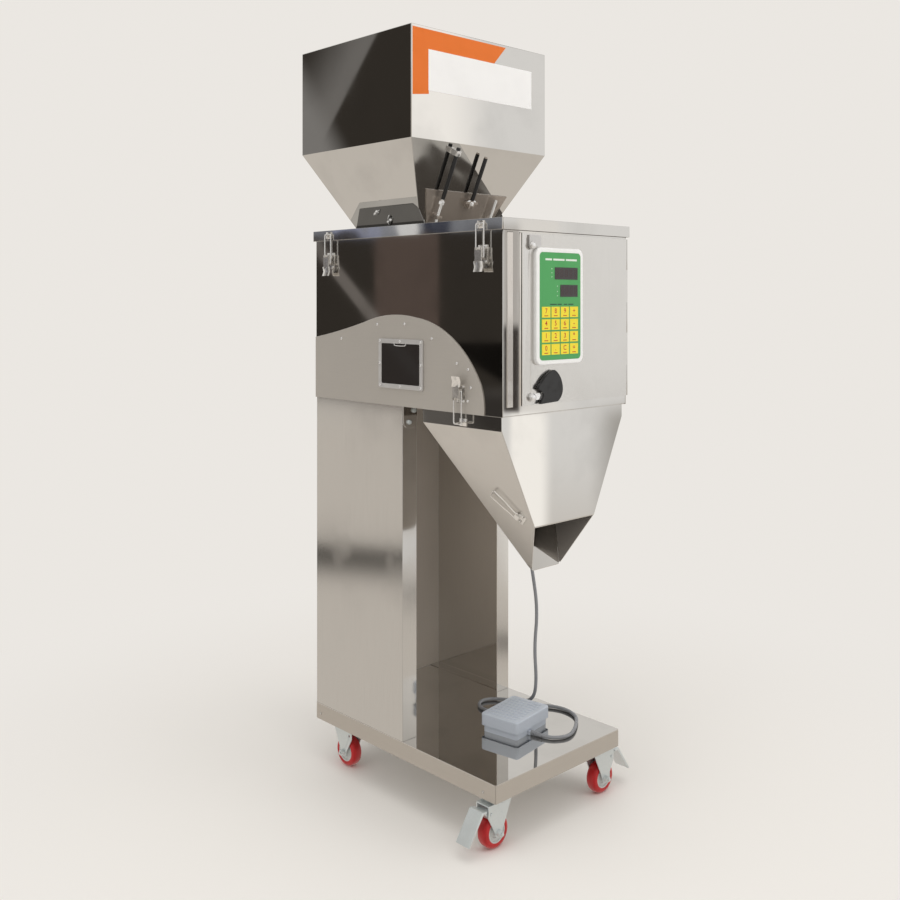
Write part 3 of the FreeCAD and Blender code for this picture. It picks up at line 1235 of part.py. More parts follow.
def make_weigher():
    """Load cell, weigh bucket and its drop flap."""
    cell = new_body("load_cell")
    pad(cell, "side", "-cell_half", "2 * cell_half",
        rectangle("bucket_back", "cell_low", "stand_front", "cell_low + cell_tall"))
    for shift in ("-cell_pitch / 2", "cell_pitch / 2"):
        place = (f"(bucket_back + stand_front) / 2 + ({shift})", "cell_low + cell_tall / 2", "cell_hole")
        hole(cell, "side", "-cell_half", "2 * cell_half", place)
    bucket = new_body("weigh_bucket")
    pad(bucket, "top", "bucket_low", "bucket_tall",
        rectangle("-bucket_half", "bucket_front", "bucket_half", "bucket_back"))
    hole(bucket, "top", "bucket_low", "bucket_tall",
         rectangle("-bucket_half + sheet_thick", "bucket_front + sheet_thick",
                   "bucket_half - sheet_thick", "bucket_back - sheet_thick"))
    near, far = "flap_pin_y - hanger_half", "flap_pin_y + hanger_half"
    top = "bucket_low + hanger_rise"
    for x in ("-bucket_half - cut_over - hanger_thick", "bucket_half + cut_over"):
        pad(bucket, "side", x, "hanger_thick", rectangle(near, "bucket_low - hanger_drop", far, top))
    for x in ("-bucket_half - cut_over", "bucket_half"):
        pad(bucket, "side", x, "cut_over", rectangle(near, "bucket_low + hanger_rise / 4", far, top))
    reach = "(bucket_half + cut_over + hanger_thick)"
    pin_hole = ("flap_pin_y", "flap_pin_z", "flap_pin_round / 2 + pin_fit")
    hole(bucket, "side", f"-{reach}", f"2 * {reach}", pin_hole)
    flap = new_body("bucket_flap")
    pad(flap, "top", "bucket_low - flap_drop", "sheet_thick",
        rectangle("-bucket_half", "bucket_front - flap_drop", "bucket_half", "flap_pin_y"))
    pad(flap, "side", f"-{reach} - flap_drop", f"2 * ({reach} + flap_drop)",
        ("flap_pin_y", "flap_pin_z", "flap_pin_round / 2"))


# Rear inlet, cable gland, foot switch and its cord

def make_inlet():
    """Mains inlet with a rocker switch above its socket."""
    body = new_body("power_inlet")
    pad(body, "front", "rear_face", "inlet_flange", inlet_rectangle("inlet_rim", "inlet_brow"))
    pad(body, "front", "rear_face - inlet_deep", "inlet_deep", inlet_rectangle("-pin_fit", "-pin_fit"))
    pocket(body, "front", "rear_face - socket_deep", "socket_deep + inlet_flange + cut_over",
           rectangle("inlet_x - socket_half", "inlet_z - 22", "inlet_x + socket_half", "inlet_z - 5"))
    for shift in ("-prong_pitch", "0", "prong_pitch"):
        x = f"inlet_x + ({shift})"
        pad(body, "front", "rear_face - socket_deep", "socket_half",
            rectangle(f"{x} - 1", "inlet_z - 16", f"{x} + 1", "inlet_z - 11"))
    middle = "inlet_z + rocker_rise"
    half, well = "rocker_half + cut_over", "rocker_tall / 2 + cut_over"
    pocket(body, "front", "rear_face - rocker_room", "rocker_room + inlet_flange + cut_over",
           rectangle(f"inlet_x - ({half})", f"{middle} - ({well})",
                     f"inlet_x + {half}", f"{middle} + {well}"))
    pocket(body, "side", "inlet_x - rocker_half - 3", "2 * (rocker_half + 3)",
           ("rear_face + pin_fit", middle, "rocker_pin / 2 + 0.05"))
    rocker = new_body("power_rocker")
    corners = [
        ("-3.4", "-rocker_tall / 2 + 0.5"), ("-1", "0"), ("-2", "rocker_tall / 2 - 0.5"),
        ("-0.3", "rocker_tall / 2 - 0.5"), ("5", "2"), ("5", "-2"), ("-0.3", "-rocker_tall / 2 + 0.5"),
    ]
    pad(rocker, "side", "-rocker_half", "2 * rocker_half", corners)
    pad(rocker, "side", "-rocker_half - 2.5", "2 * rocker_half + 5", ("2.5", "0", "rocker_pin / 2"))
    set_place(rocker, "inlet_x", "rear_face + inlet_flange - 0.2", middle, Rotation(Z, 180))


def make_cable_gland():
    """Gland through the housing floor, with its nut inside."""
    body = new_body("cable_gland")
    nut = ("gland_x", "gland_y", "gland_nut")
    pad(body, "top", "floor_low - gland_nut", "gland_nut", nut)
    pad(body, "top", "floor_low - gland_drop", "gland_drop", ("gland_x", "gland_y", "gland_round * 0.55"))
    pad(body, "top", "floor_low", "gland_round", ("gland_x", "gland_y", "gland_round / 2 - 0.05"))
    pad(body, "top", "floor_high", "gland_nut / 2", nut)


def place_foot_switch(item):
    set_place(item, "foot_x", "foot_y", "tray_top", Rotation(Z, FOOT_YAW))


def make_foot_switch():
    """A block with a hinge pin at the back and a ridged shell that tips over it."""
    base = new_body("foot_base")
    half_long, half_deep = "(foot_long / 2 - foot_room)", "(foot_deep / 2 - foot_room)"
    pad(base, "top", "0", "foot_base_tall", rectangle(f"-{half_long}", f"-{half_deep}", half_long, half_deep))
    round_edges(base, "5", along(Z))
    pad(base, "side", "-(foot_long / 2 - knuckle_gap)", "foot_long - 2 * knuckle_gap",
        ("foot_hinge_y", "foot_hinge_z", "foot_pin_round / 2"))
    outlet = rectangle("foot_exit_x - exit_half", "-exit_y", "foot_exit_x + exit_half", f"-{half_deep}")
    pad(base, "top", "exit_high - 3.8", "cord_round + 0.5", outlet)
    place_foot_switch(base)
    pedal = new_body("foot_pedal")
    pad(pedal, "top", "foot_shell_low", "foot_shell_tall",
        rectangle("-foot_long / 2", "-foot_deep / 2", "foot_long / 2", "foot_deep / 2"))
    round_edges(pedal, "7", along(Z))
    top = number("foot_shell_low + foot_shell_tall")
    round_edges(pedal, "3", lambda e: all(abs(v.Z - top) < 0.01 for v in e.Vertexes))
    pocket(pedal, "top", "foot_shell_low - cut_over", "foot_shell_tall - foot_wall + cut_over",
           rectangle("-foot_long / 2 + foot_wall", "-foot_deep / 2 + foot_wall",
                     "foot_long / 2 - foot_wall", "foot_deep / 2 - foot_wall"))
    first = "-foot_long / 2 + ridge_margin"
    strip = rectangle(first, "-foot_deep / 2 + ridge_inset",
                      f"{first} + ridge_wide", "foot_deep / 2 - ridge_inset")
    ridge = pad(pedal, "top", "foot_shell_low + foot_shell_tall - ridge_tall / 2", "1.5 * ridge_tall", strip)
    ridges = pedal.newObject("PartDesign::LinearPattern", "Ridges")
    ridges.Originals = [ridge]
    ridges.Direction = (ridge.Profile[0], ["H_Axis"])
    ridges.setExpression("Length", formula("foot_long - 2 * ridge_margin - ridge_wide"))
    ridges.Occurrences = RIDGES
    pedal.Tip = ridges
    doc.recompute()
    pin_hole = ("foot_hinge_y", "foot_hinge_z", "foot_pin_round / 2 + pin_fit")
    pocket(pedal, "side", "-foot_long", "2 * foot_long", pin_hole)
    place_foot_switch(pedal)


# Route of the foot switch's cord, chosen by hand, from the gland down to the switch
CORD_ROUTE = [
    (117.0, -44.0, 768.0), (117.0, -44.0, 700.0), (113.0, -52.0, 612.0), (107.0, -66.0, 520.0),
    (112.0, -82.0, 430.0), (118.0, -94.0, 345.0), (108.0, -104.0, 270.0), (111.0, -112.0, 205.0),
    (120.0, -98.0, 160.0), (128.0, -62.0, 138.0), (121.0, -18.0, 133.2), (91.8, 15.7, 133.0),
    (63.0, 11.9, 133.0), (45.3, -11.2, 133.0), (49.1, -40.0, 133.0), (72.2, -57.7, 133.0),
    (104.0, -61.0, 133.2), (142.0, -82.0, 133.4), (168.0, -116.0, 133.0), (171.0, -150.0, 133.0),
    (158.0, -182.0, 133.0), (126.0, -207.0, 133.0), (91.7, -226.9, 133.0), (68.0, -231.0, 133.0),
    (45.8, -219.5, 133.0), (35.6, -202.5, 133.3),
]


def make_foot_cord():
    """The cord as straight runs with arcs as large as the runs allow."""
    points = [Vector(*place) for place in CORD_ROUTE]
    turn = Rotation(Z, FOOT_YAW)
    exit_local = Vector(number("foot_exit_x"), -number("exit_y"), number("exit_high"))
    points.append(turn.multVec(exit_local) + Vector(number("foot_x"), number("foot_y"), number("tray_top")))
    points[0] = Vector(number("gland_x"), number("gland_y"), number("floor_low - gland_drop"))
    radii = []
    for before, corner, after in zip(points, points[1:], points[2:]):
        turned = (corner - before).getAngle(after - corner)
        shorter = min((corner - before).Length, (after - corner).Length)
        radii.append(0.45 * shorter / math.tan(turned / 2))
    path = Part.Wire([edge.toShape() for edge in bent_edges(points, radii)])
    start = points[0]
    way = (points[1] - start).normalize()
    section = Part.Wire([Part.Circle(start, way, number("cord_round / 2")).toShape()])
    item = doc.addObject("Part::Feature", "foot_cord")
    item.Shape = path.makePipeShell([section], True, False)
    keep(item, "foot_cord")


# Build, check and write

def main():
    make_base_frame()
    make_base_tray()
    make_column_shell()
    make_housing_shell()
    make_housing_floor()
    make_front_frame()
    make_lid()
    make_hopper()
    make_gate_plate()
    make_gate_guides()
    make_saddle_plates()
    make_chute()
    make_side_covers()
    make_window()
    make_front_door()
    make_control_panel()
    make_turn_buttons()
    make_control_board()
    make_caster_plates()
    for name, x, y, yaw, braked in CASTERS:
        make_fork(f"fork_{name}", x, y, yaw)
        make_wheel(f"wheel_{name}", x, y, yaw)
        if braked:
            make_brake(f"brake_{name}", x, y, yaw)
    make_latch_fixings()
    for name, place, turn, _ in latch_places():
        make_lever(name, place, turn)
        make_bail(name, place, turn)
    make_feeder()
    make_weigher()
    make_inlet()
    make_cable_gland()
    make_foot_switch()
    make_foot_cord()
    doc.recompute()
    for item in doc.Objects:
        if "Invalid" in item.State or "Error" in item.State:
            raise ValueError(f"{item.Label} did not build")
    for item in sub_parts:
        if item.Shape.isNull() or not item.Shape.isValid():
            raise ValueError(f"{item.Label} has no valid shape")
    os.makedirs("parts", exist_ok=True)
    for item in sub_parts:
        item.Shape.exportStep(f"parts/{item.Label}.step")


main()
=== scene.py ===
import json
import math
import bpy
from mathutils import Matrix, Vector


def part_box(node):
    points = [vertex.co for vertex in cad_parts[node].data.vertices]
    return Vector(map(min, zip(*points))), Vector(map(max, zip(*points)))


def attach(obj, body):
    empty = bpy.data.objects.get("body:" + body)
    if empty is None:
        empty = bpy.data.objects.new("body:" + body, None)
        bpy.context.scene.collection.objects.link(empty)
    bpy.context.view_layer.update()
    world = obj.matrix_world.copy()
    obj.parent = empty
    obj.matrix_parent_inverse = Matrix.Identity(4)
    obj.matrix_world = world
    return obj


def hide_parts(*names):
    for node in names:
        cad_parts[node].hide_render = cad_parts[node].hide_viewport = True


bl_info = {
    "name": "Particle filling machine",
    "version": (1, 0, 0),
    "blender": (4, 5, 0),
    "location": "View3D > Sidebar > Filler",
    "description": "Dresses the packed filling machine and sets up its studio",
    "category": "Object",
}

import bmesh
import bpy
from mathutils import Matrix, Vector

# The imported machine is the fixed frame: metres, +Z up, the control panel faces -Y
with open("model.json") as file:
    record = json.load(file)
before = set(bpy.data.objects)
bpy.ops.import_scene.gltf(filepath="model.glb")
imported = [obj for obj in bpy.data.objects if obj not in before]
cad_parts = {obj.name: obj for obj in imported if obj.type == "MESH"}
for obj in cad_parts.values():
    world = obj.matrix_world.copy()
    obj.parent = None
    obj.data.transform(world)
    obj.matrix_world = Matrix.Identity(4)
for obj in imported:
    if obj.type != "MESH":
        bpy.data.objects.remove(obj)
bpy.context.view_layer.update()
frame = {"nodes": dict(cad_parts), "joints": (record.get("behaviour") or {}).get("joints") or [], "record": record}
NODES = frame["nodes"]
RECORD = frame["record"]
BODY_OF = {node: body for body, nodes in RECORD["behaviour"]["bodies"].items() for node in nodes}
MM = 0.001

# Faces above this area, in square metres, are a sheet's own faces
BROAD = 2e-3

# Pieces whose long outer bends catch the light
BENT = {"hopper", "housing_shell", "lid", "chute", "base_tray", "column_shell", "front_door"}


# Sizes and colours that a user would change

def length_setting(name, description, default):
    return bpy.props.FloatProperty(name=name, description=description, default=default, unit="LENGTH")


def colour_setting(name, description, default):
    return bpy.props.FloatVectorProperty(
        name=name, description=description, default=default, subtype="COLOR"
    )


class FillerSizes(bpy.types.PropertyGroup):
    bend: length_setting("Bend", "Rounding of the sheets' long bends", 0.0012)
    fold: length_setting("Fold", "Rounding of folded sheet edges", 0.0005)
    screw: length_setting("Screw", "Radius of the cover screws' heads", 0.003)
    cord: length_setting("Cord", "Diameter of the foot switch's cord", 0.007)
    sleeve: length_setting("Sleeve", "Radius of the rods' black sleeves", 0.0042)
    digit: length_setting("Digit", "Height of the digits on the keys", 0.0095)


class FillerColours(bpy.types.PropertyGroup):
    steel: colour_setting("Steel", "Stainless sheet", (0.66, 0.645, 0.62))
    tread: colour_setting("Tread", "Tyres", (0.50, 0.003, 0.006))
    zinc: colour_setting("Zinc", "Forks and brakes", (0.70, 0.745, 0.75))
    green: colour_setting("Foil", "Key foil", (0.065, 0.36, 0.10))
    yellow: colour_setting("Keys", "Printed keys", (0.93, 0.76, 0.03))
    orange: colour_setting("Film", "Film on the bin", (0.76, 0.155, 0.0))
    enamel: colour_setting("Enamel", "Foot pedal", (0.58, 0.635, 0.72))
    cord: colour_setting("Cord", "Cord's sheath", (0.27, 0.28, 0.30))


class FillerStudio(bpy.types.PropertyGroup):
    pale: colour_setting("Backdrop", "Floor and backdrop", (0.83, 0.80, 0.76))
    lamp: bpy.props.FloatProperty(name="Lamps", description="Power of the soft lamps", default=38.0, min=0.0)


# Meshes

def new_object(name, mesh):
    obj = bpy.data.objects.new(name, mesh)
    bpy.context.scene.collection.objects.link(obj)
    return obj


def from_bmesh(name, form):
    mesh = bpy.data.meshes.new(name)
    form.to_mesh(mesh)
    form.free()
    return new_object(name, mesh)


def smooth(obj, degrees=35.0):
    """Smooth faces, with edges sharper than the angle kept."""
    mesh = obj.data
    mesh.polygons.foreach_set("use_smooth", [True] * len(mesh.polygons))
    mesh.set_sharp_from_angle(angle=math.radians(degrees))
    return obj


def carry(obj, body, material=None):
    """Finish a piece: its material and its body."""
    if material is not None:
        obj.data.materials.clear()
        obj.data.materials.append(material)
    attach(obj, body)
    return obj


def baked(obj):
    """The piece with its modifiers worked in, as a plain mesh."""
    depsgraph = bpy.context.evaluated_depsgraph_get()
    mesh = bpy.data.meshes.new_from_object(obj.evaluated_get(depsgraph))
    obj.modifiers.clear()
    old = obj.data
    obj.data = mesh
    if old.users == 0:
        bpy.data.meshes.remove(old)
    return obj


def merged_copy(node):
    """The node's own faces, joined and with flat ones made whole."""
    form = bmesh.new()
    form.from_mesh(NODES[node].data)
    bmesh.ops.remove_doubles(form, verts=form.verts, dist=2e-6)
    bmesh.ops.dissolve_limit(form, angle_limit=math.radians(0.6), verts=form.verts, edges=form.edges)
    return form


def flatten(obj, area=3e-4, width=0.012):
    """Shade a sheet's own faces flat, so that each reflects as a flat one."""
    for face in obj.data.polygons:
        spots = [obj.data.vertices[index].co for index in face.vertices]
        longest = max((one - two).length for one, two in zip(spots, spots[1:] + spots[:1]))
        if face.area > area and face.area / longest > width:
            face.use_smooth = False


def crossed(obj):
    """Whether a bevel has folded a face over itself, so that its triangles cover more than the face."""
    mesh = obj.data
    mesh.calc_loop_triangles()
    covered = [0.0] * len(mesh.polygons)
    for triangle in mesh.loop_triangles:
        covered[triangle.polygon_index] += triangle.area
    return any(area > face.area + 1e-5 for area, face in zip(covered, mesh.polygons))


def bevelled(node, bend, fold, segments):
    """The node's merged copy, its long outer bends rounded first and its sharp edges after."""
    form = merged_copy(node)
    weights = form.edges.layers.float.new("bevel_weight_edge")
    for edge in form.edges:
        if bend > 0 and len(edge.link_faces) == 2 and edge.is_convex and edge.calc_face_angle(0) > 0.8:
            if edge.calc_length() > 0.03 and min(face.calc_area() for face in edge.link_faces) > BROAD:
                edge[weights] = 1.0
    obj = from_bmesh(node + "_finished", form)
    if bend > 0:
        bevel = obj.modifiers.new("Bend", "BEVEL")
        bevel.width = bend
        bevel.segments = 3
        bevel.limit_method = "WEIGHT"
        bevel.use_clamp_overlap = False
        baked(obj)
    if fold > 0:
        bevel = obj.modifiers.new("Fold", "BEVEL")
        bevel.width = fold
        bevel.segments = segments
        bevel.limit_method = "ANGLE"
        bevel.angle_limit = math.radians(40)
        bevel.use_clamp_overlap = True
        baked(obj)
    return obj


def rounded_piece(node, material, fold, segments=2, bend=0.0):
    """A node with its edges rounded as far as its faces allow, which stands for the node."""
    bends = (bend, bend / 2, 0.0) if bend > 0 and node in BENT else (0.0,)
    for wide, narrow in [(value, fold) for value in bends] + [(0.0, fold / 2), (0.0, 0.0)]:
        obj = bevelled(node, wide, narrow, segments)
        if not crossed(obj):
            break
        bpy.data.objects.remove(obj)
    smooth(obj, 32)
    flatten(obj)
    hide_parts(node)
    return carry(obj, BODY_OF[node], material)


def add_box(form, low, high):
    """A box between two corners, in millimetres."""
    middle = [(a + b) / 2 * MM for a, b in zip(low, high)]
    size = [abs(b - a) * MM for a, b in zip(low, high)]
    matrix = Matrix.Translation(middle) @ Matrix.Diagonal((*size, 1))
    return bmesh.ops.create_cube(form, size=1, matrix=matrix)["verts"]


def turned(form, profile, matrix, steps=48):
    """A closed turned shape from (radius, height) points in millimetres, round the matrix's Z."""
    rings = []
    for radius, height in profile:
        if radius <= 0:
            rings.append([form.verts.new(matrix @ Vector((0, 0, height * MM)))])
            continue
        ring = []
        for step in range(steps):
            angle = 2 * math.pi * step / steps
            place = Vector((radius * math.cos(angle), radius * math.sin(angle), height)) * MM
            ring.append(form.verts.new(matrix @ place))
        rings.append(ring)
    pairs = list(zip(rings, rings[1:]))
    if len(rings[0]) > 1 and len(rings[-1]) > 1:
        pairs.append((rings[-1], rings[0]))
    for one, two in pairs:
        for step in range(steps):
            after = (step + 1) % steps
            corners = [
                one[step % len(one)], one[after % len(one)], two[after % len(two)], two[step % len(two)],
            ]
            corners = list(dict.fromkeys(corners))
            if len(corners) > 2:
                form.faces.new(corners)


def closed(form):
    """Merge seams and point every face outwards."""
    bmesh.ops.remove_doubles(form, verts=form.verts, dist=1e-7)
    bmesh.ops.recalc_face_normals(form, faces=form.faces)
    return form


def frame_at(place, way, spin=0.0):
    """A matrix in metres whose Z points along a way."""
    turn = Vector(way).to_track_quat("Z", "Y").to_matrix().to_4x4()
    return Matrix.Translation(Vector(place) * MM) @ turn @ Matrix.Rotation(spin, 4, "Z")


# Shader node groups, used by several finishes

def open_group(name, inputs, outputs):
    group = bpy.data.node_groups.new(name, "ShaderNodeTree")
    for label, kind, value in inputs:
        socket = group.interface.new_socket(label, in_out="INPUT", socket_type=kind)
        if value is not None:
            socket.default_value = value
    for label, kind in outputs:
        group.interface.new_socket(label, in_out="OUTPUT", socket_type=kind)
    return group, group.nodes.new("NodeGroupInput"), group.nodes.new("NodeGroupOutput")


def add_node(tree, kind, **settings):
    node = tree.nodes.new(kind)
    for key, value in settings.items():
        setattr(node, key, value)
    return node


def wire(tree, pairs):
    for source, target in pairs:
        tree.links.new(source, target)


def grain_group():
    """Fine drawn lines: a stretched noise that gives a grain value and a shallow bump."""
    group, given, out = open_group(
        "Drawn grain",
        [
            ("Stretch", "NodeSocketVector", (4.0, 4.0, 220.0)), ("Depth", "NodeSocketFloat", 0.05),
            ("Normal", "NodeSocketVector", None),
        ],
        [("Grain", "NodeSocketFloat"), ("Normal", "NodeSocketVector")],
    )
    place = add_node(group, "ShaderNodeTexCoord")
    mapping = add_node(group, "ShaderNodeMapping")
    noise = add_node(group, "ShaderNodeTexNoise")
    noise.inputs["Scale"].default_value = 6.0
    noise.inputs["Detail"].default_value = 4.0
    bump = add_node(group, "ShaderNodeBump")
    bump.inputs["Distance"].default_value = 0.0002
    wire(group, [
        (place.outputs["Object"], mapping.inputs["Vector"]),
        (given.outputs["Stretch"], mapping.inputs["Scale"]),
        (mapping.outputs["Vector"], noise.inputs["Vector"]), (noise.outputs["Fac"], bump.inputs["Height"]),
        (given.outputs["Depth"], bump.inputs["Strength"]), (given.outputs["Normal"], bump.inputs["Normal"]),
        (noise.outputs["Fac"], out.inputs["Grain"]), (bump.outputs["Normal"], out.inputs["Normal"]),
    ])
    return group


def wave_group():
    """Slow waviness of thin sheet, seen as bent reflections."""
    group, given, out = open_group(
        "Sheet waviness",
        [("Depth", "NodeSocketFloat", 0.1), ("Fineness", "NodeSocketFloat", 5.0)],
        [("Wave", "NodeSocketFloat"), ("Normal", "NodeSocketVector")],
    )
    place = add_node(group, "ShaderNodeTexCoord")
    noise = add_node(group, "ShaderNodeTexNoise")
    noise.inputs["Detail"].default_value = 1.0
    bump = add_node(group, "ShaderNodeBump")
    bump.inputs["Distance"].default_value = 0.004
    wire(group, [
        (place.outputs["Object"], noise.inputs["Vector"]), (given.outputs["Fineness"], noise.inputs["Scale"]),
        (noise.outputs["Fac"], bump.inputs["Height"]), (given.outputs["Depth"], bump.inputs["Strength"]),
        (noise.outputs["Fac"], out.inputs["Wave"]), (bump.outputs["Normal"], out.inputs["Normal"]),
    ])
    return group


def marks_group():
    """Faint finger marks and dust: blotches that dull a surface."""
    group, given, out = open_group(
        "Handling marks",
        [
            ("Fineness", "NodeSocketFloat", 9.0), ("Dull", "NodeSocketFloat", 0.08),
            ("Base", "NodeSocketFloat", 0.1),
        ],
        [("Roughness", "NodeSocketFloat"), ("Marks", "NodeSocketFloat")],
    )
    place = add_node(group, "ShaderNodeTexCoord")
    noise = add_node(group, "ShaderNodeTexNoise")
    noise.inputs["Detail"].default_value = 6.0
    ramp = add_node(group, "ShaderNodeMapRange")
    ramp.inputs["From Min"].default_value = 0.48
    ramp.inputs["From Max"].default_value = 0.75
    scaled = add_node(group, "ShaderNodeMath", operation="MULTIPLY_ADD")
    wire(group, [
        (place.outputs["Object"], noise.inputs["Vector"]), (given.outputs["Fineness"], noise.inputs["Scale"]),
        (noise.outputs["Fac"], ramp.inputs["Value"]), (ramp.outputs["Result"], scaled.inputs[0]),
        (given.outputs["Dull"], scaled.inputs[1]), (given.outputs["Base"], scaled.inputs[2]),
        (scaled.outputs["Value"], out.inputs["Roughness"]), (ramp.outputs["Result"], out.inputs["Marks"]),
    ])
    return group


GROUPS = {}
FINISHES = {}


def place_group(tree, key, **values):
    makers = {"grain": grain_group, "wave": wave_group, "marks": marks_group}
    if key not in GROUPS:
        GROUPS[key] = makers[key]()
    node = add_node(tree, "ShaderNodeGroup", node_tree=GROUPS[key])
    for label, value in values.items():
        node.inputs[label].default_value = value
    return node


def finish(name, colour, rough, metal=0.0, dull=0.08, fineness=9.0, wave=0.0, wave_fineness=5.0, grain=0.0,
           stretch=(4.0, 4.0, 220.0), darker=0.9, coat=0.0):
    """A finish with its own colour play, roughness marks, sheet waves and grain."""
    material = bpy.data.materials.new(name)
    material.use_nodes = True
    tree = material.node_tree
    shader = tree.nodes["Principled BSDF"]
    shader.inputs["Metallic"].default_value = metal
    shader.inputs["Coat Weight"].default_value = coat
    marks = place_group(tree, "marks", Fineness=fineness, Dull=dull, Base=rough)
    mix = add_node(tree, "ShaderNodeMix", data_type="RGBA")
    mix.inputs["A"].default_value = (*colour, 1)
    mix.inputs["B"].default_value = (*[c * darker for c in colour], 1)
    wire(tree, [(marks.outputs["Roughness"], shader.inputs["Roughness"]), (
        mix.outputs["Result"], shader.inputs["Base Color"],
    )])
    lines = place_group(tree, "grain", Depth=grain, Stretch=stretch)
    waves = place_group(tree, "wave", Depth=wave, Fineness=wave_fineness)
    wire(tree, [
        (waves.outputs["Normal"], lines.inputs["Normal"]), (lines.outputs["Normal"], shader.inputs["Normal"]),
        ((lines if grain > 0 else marks).outputs["Grain" if grain > 0 else "Marks"], mix.inputs["Factor"]),
    ])
    FINISHES[name] = material
    return material


def make_finishes():
    colours = bpy.context.scene.filler_colours
    steel = tuple(colours.steel)
    finish("polished_sheet", steel, 0.022, metal=1.0, dull=0.03, wave=0.02, wave_fineness=3.5)
    finish("lid_sheet", steel, 0.05, metal=1.0, dull=0.04, wave=0.35, wave_fineness=7.0)
    # Painted shade: a browner copy of the steel, less metallic and rougher, for the faces inside the column
    finish("inner_sheet", (0.80, 0.735, 0.665), 0.36, metal=0.35, dull=0.05, wave=0.03, wave_fineness=3.0,
           grain=0.03, stretch=(220.0, 220.0, 3.0))
    finish("plate_sheet", (0.40, 0.35, 0.305), 0.16, metal=0.5, dull=0.08, wave=0.05, wave_fineness=6.0)
    finish("slope_sheet", (0.66, 0.63, 0.59), 0.30, metal=0.7, dull=0.05, wave=0.03, wave_fineness=4.0)
    # Painted highlight: a brighter copy of the steel for the front of the frame's left strip
    finish("fold_sheet", (0.80, 0.76, 0.72), 0.08, metal=1.0, dull=0.06, wave=0.08, wave_fineness=9.0)
    # Painted dark reflection: the steel at under a third of its brightness, for the saddle plates
    finish(
        "dark_sheet", tuple(c * 0.30 for c in steel), 0.06, metal=1.0, dull=0.08, wave=0.05, wave_fineness=6.0
    )
    finish(
        "skirt_sheet", (0.56, 0.52, 0.47), 0.34, metal=0.75, dull=0.08, grain=0.12, stretch=(3.0, 3.0, 240.0),
    )
    finish("blasted_sheet", (0.50, 0.47, 0.43), 0.40, metal=0.45, dull=0.08, wave=0.05, wave_fineness=4.0,
           grain=0.12,
           stretch=(3.0, 3.0, 200.0), darker=0.92)
    finish("latch_plate", (0.84, 0.82, 0.79), 0.16, metal=0.9, dull=0.12, fineness=60)
    finish(
        "frame_plate", (0.62, 0.61, 0.60), 0.30, metal=0.5, dull=0.14, fineness=60, grain=0.1,
        stretch=(60, 60, 60),
    )
    # Painted shade: a darker, browner copy of the steel for the faces inside the chute
    finish("spout_sheet", (0.50, 0.46, 0.42), 0.30, metal=0.35, dull=0.1, wave=0.05, wave_fineness=5.0)
    finish(
        "dark_polish", tuple(c * 0.96 for c in steel), 0.03, metal=1.0, dull=0.03, wave=0.012,
        wave_fineness=2.5
    )
    finish(
        "satin_sheet", steel, 0.24, metal=1.0, dull=0.10, wave=0.06, wave_fineness=4.0, grain=0.25,
        stretch=(3.0, 3.0, 260.0),
    )
    finish(
        "column_sheet", steel, 0.085, metal=1.0, dull=0.05, wave=0.02, wave_fineness=2.5, grain=0.03,
        stretch=(220.0, 220.0, 3.0),
    )
    finish(
        "door_sheet", tuple(min(1, c * 1.1) for c in steel), 0.17, metal=1.0, wave=0.05, grain=0.10,
        stretch=(220.0, 3.0, 3.0)
    )
    finish("bright_plate", (0.86, 0.86, 0.86), 0.10, metal=0.82, dull=0.12, fineness=40)
    finish(
        "zinc_plate", tuple(colours.zinc), 0.30, metal=0.6, dull=0.16, fineness=60, grain=0.12,
        stretch=(40, 40, 40),
    )
    finish("red_tread", tuple(colours.tread), 0.36, dull=0.2, fineness=50, darker=0.8, coat=0.08)
    finish("hub_nylon", (0.60, 0.61, 0.60), 0.4, dull=0.2, fineness=70)
    finish("white_moulding", (0.92, 0.925, 0.92), 0.26, dull=0.15, fineness=30, darker=0.96, coat=0.2)
    finish("green_print", tuple(colours.green), 0.32, dull=0.12, fineness=25, darker=0.93)
    finish("yellow_print", tuple(colours.yellow), 0.34, dull=0.12, fineness=60, darker=0.95)
    finish("red_print", (0.52, 0.03, 0.01), 0.4, dull=0.1)
    finish("pale_print", (0.80, 0.88, 0.80), 0.4, dull=0.1)
    finish("dark_print", (0.01, 0.07, 0.03), 0.4, dull=0.1)
    finish("display_filter", (0.012, 0.006, 0.006), 0.10, dull=0.2, fineness=50, coat=0.4)
    finish("unlit_segment", (0.035, 0.010, 0.010), 0.3, dull=0.1)
    finish("black_rubber", (0.012, 0.012, 0.013), 0.38, dull=0.25, fineness=70)
    finish("black_moulding", (0.02, 0.02, 0.022), 0.42, dull=0.15, fineness=60)
    finish("cord_sheath", tuple(colours.cord), 0.42, dull=0.2, fineness=60)
    finish(
        "blue_grey_enamel", tuple(colours.enamel), 0.38, dull=0.16, fineness=35, grain=0.12,
        stretch=(90, 90, 90),
    )
    finish("white_film", (0.90, 0.90, 0.90), 0.35, dull=0.12, fineness=20, darker=0.97)
    finish("orange_film", tuple(colours.orange), 0.35, dull=0.12, fineness=20, darker=0.95)
    finish("board_green", (0.02, 0.16, 0.06), 0.35, dull=0.2, fineness=90)
    finish("cast_paint", (0.05, 0.055, 0.06), 0.55, dull=0.2, fineness=80, grain=0.3, stretch=(60, 60, 60))
    finish("milled_alloy", (0.70, 0.71, 0.72), 0.30, metal=1.0, grain=0.3, stretch=(200, 4, 4))
    finish("grey_moulding", (0.16, 0.165, 0.17), 0.45, dull=0.15, fineness=60)
    finish("red_moulding", (0.50, 0.02, 0.02), 0.3, dull=0.15, fineness=60)
    pane = finish("smoked_pane", (0.020, 0.018, 0.017), 0.05, dull=0.05, fineness=15, coat=0.3)
    return pane


# Geometry Nodes: fastener heads stood on points

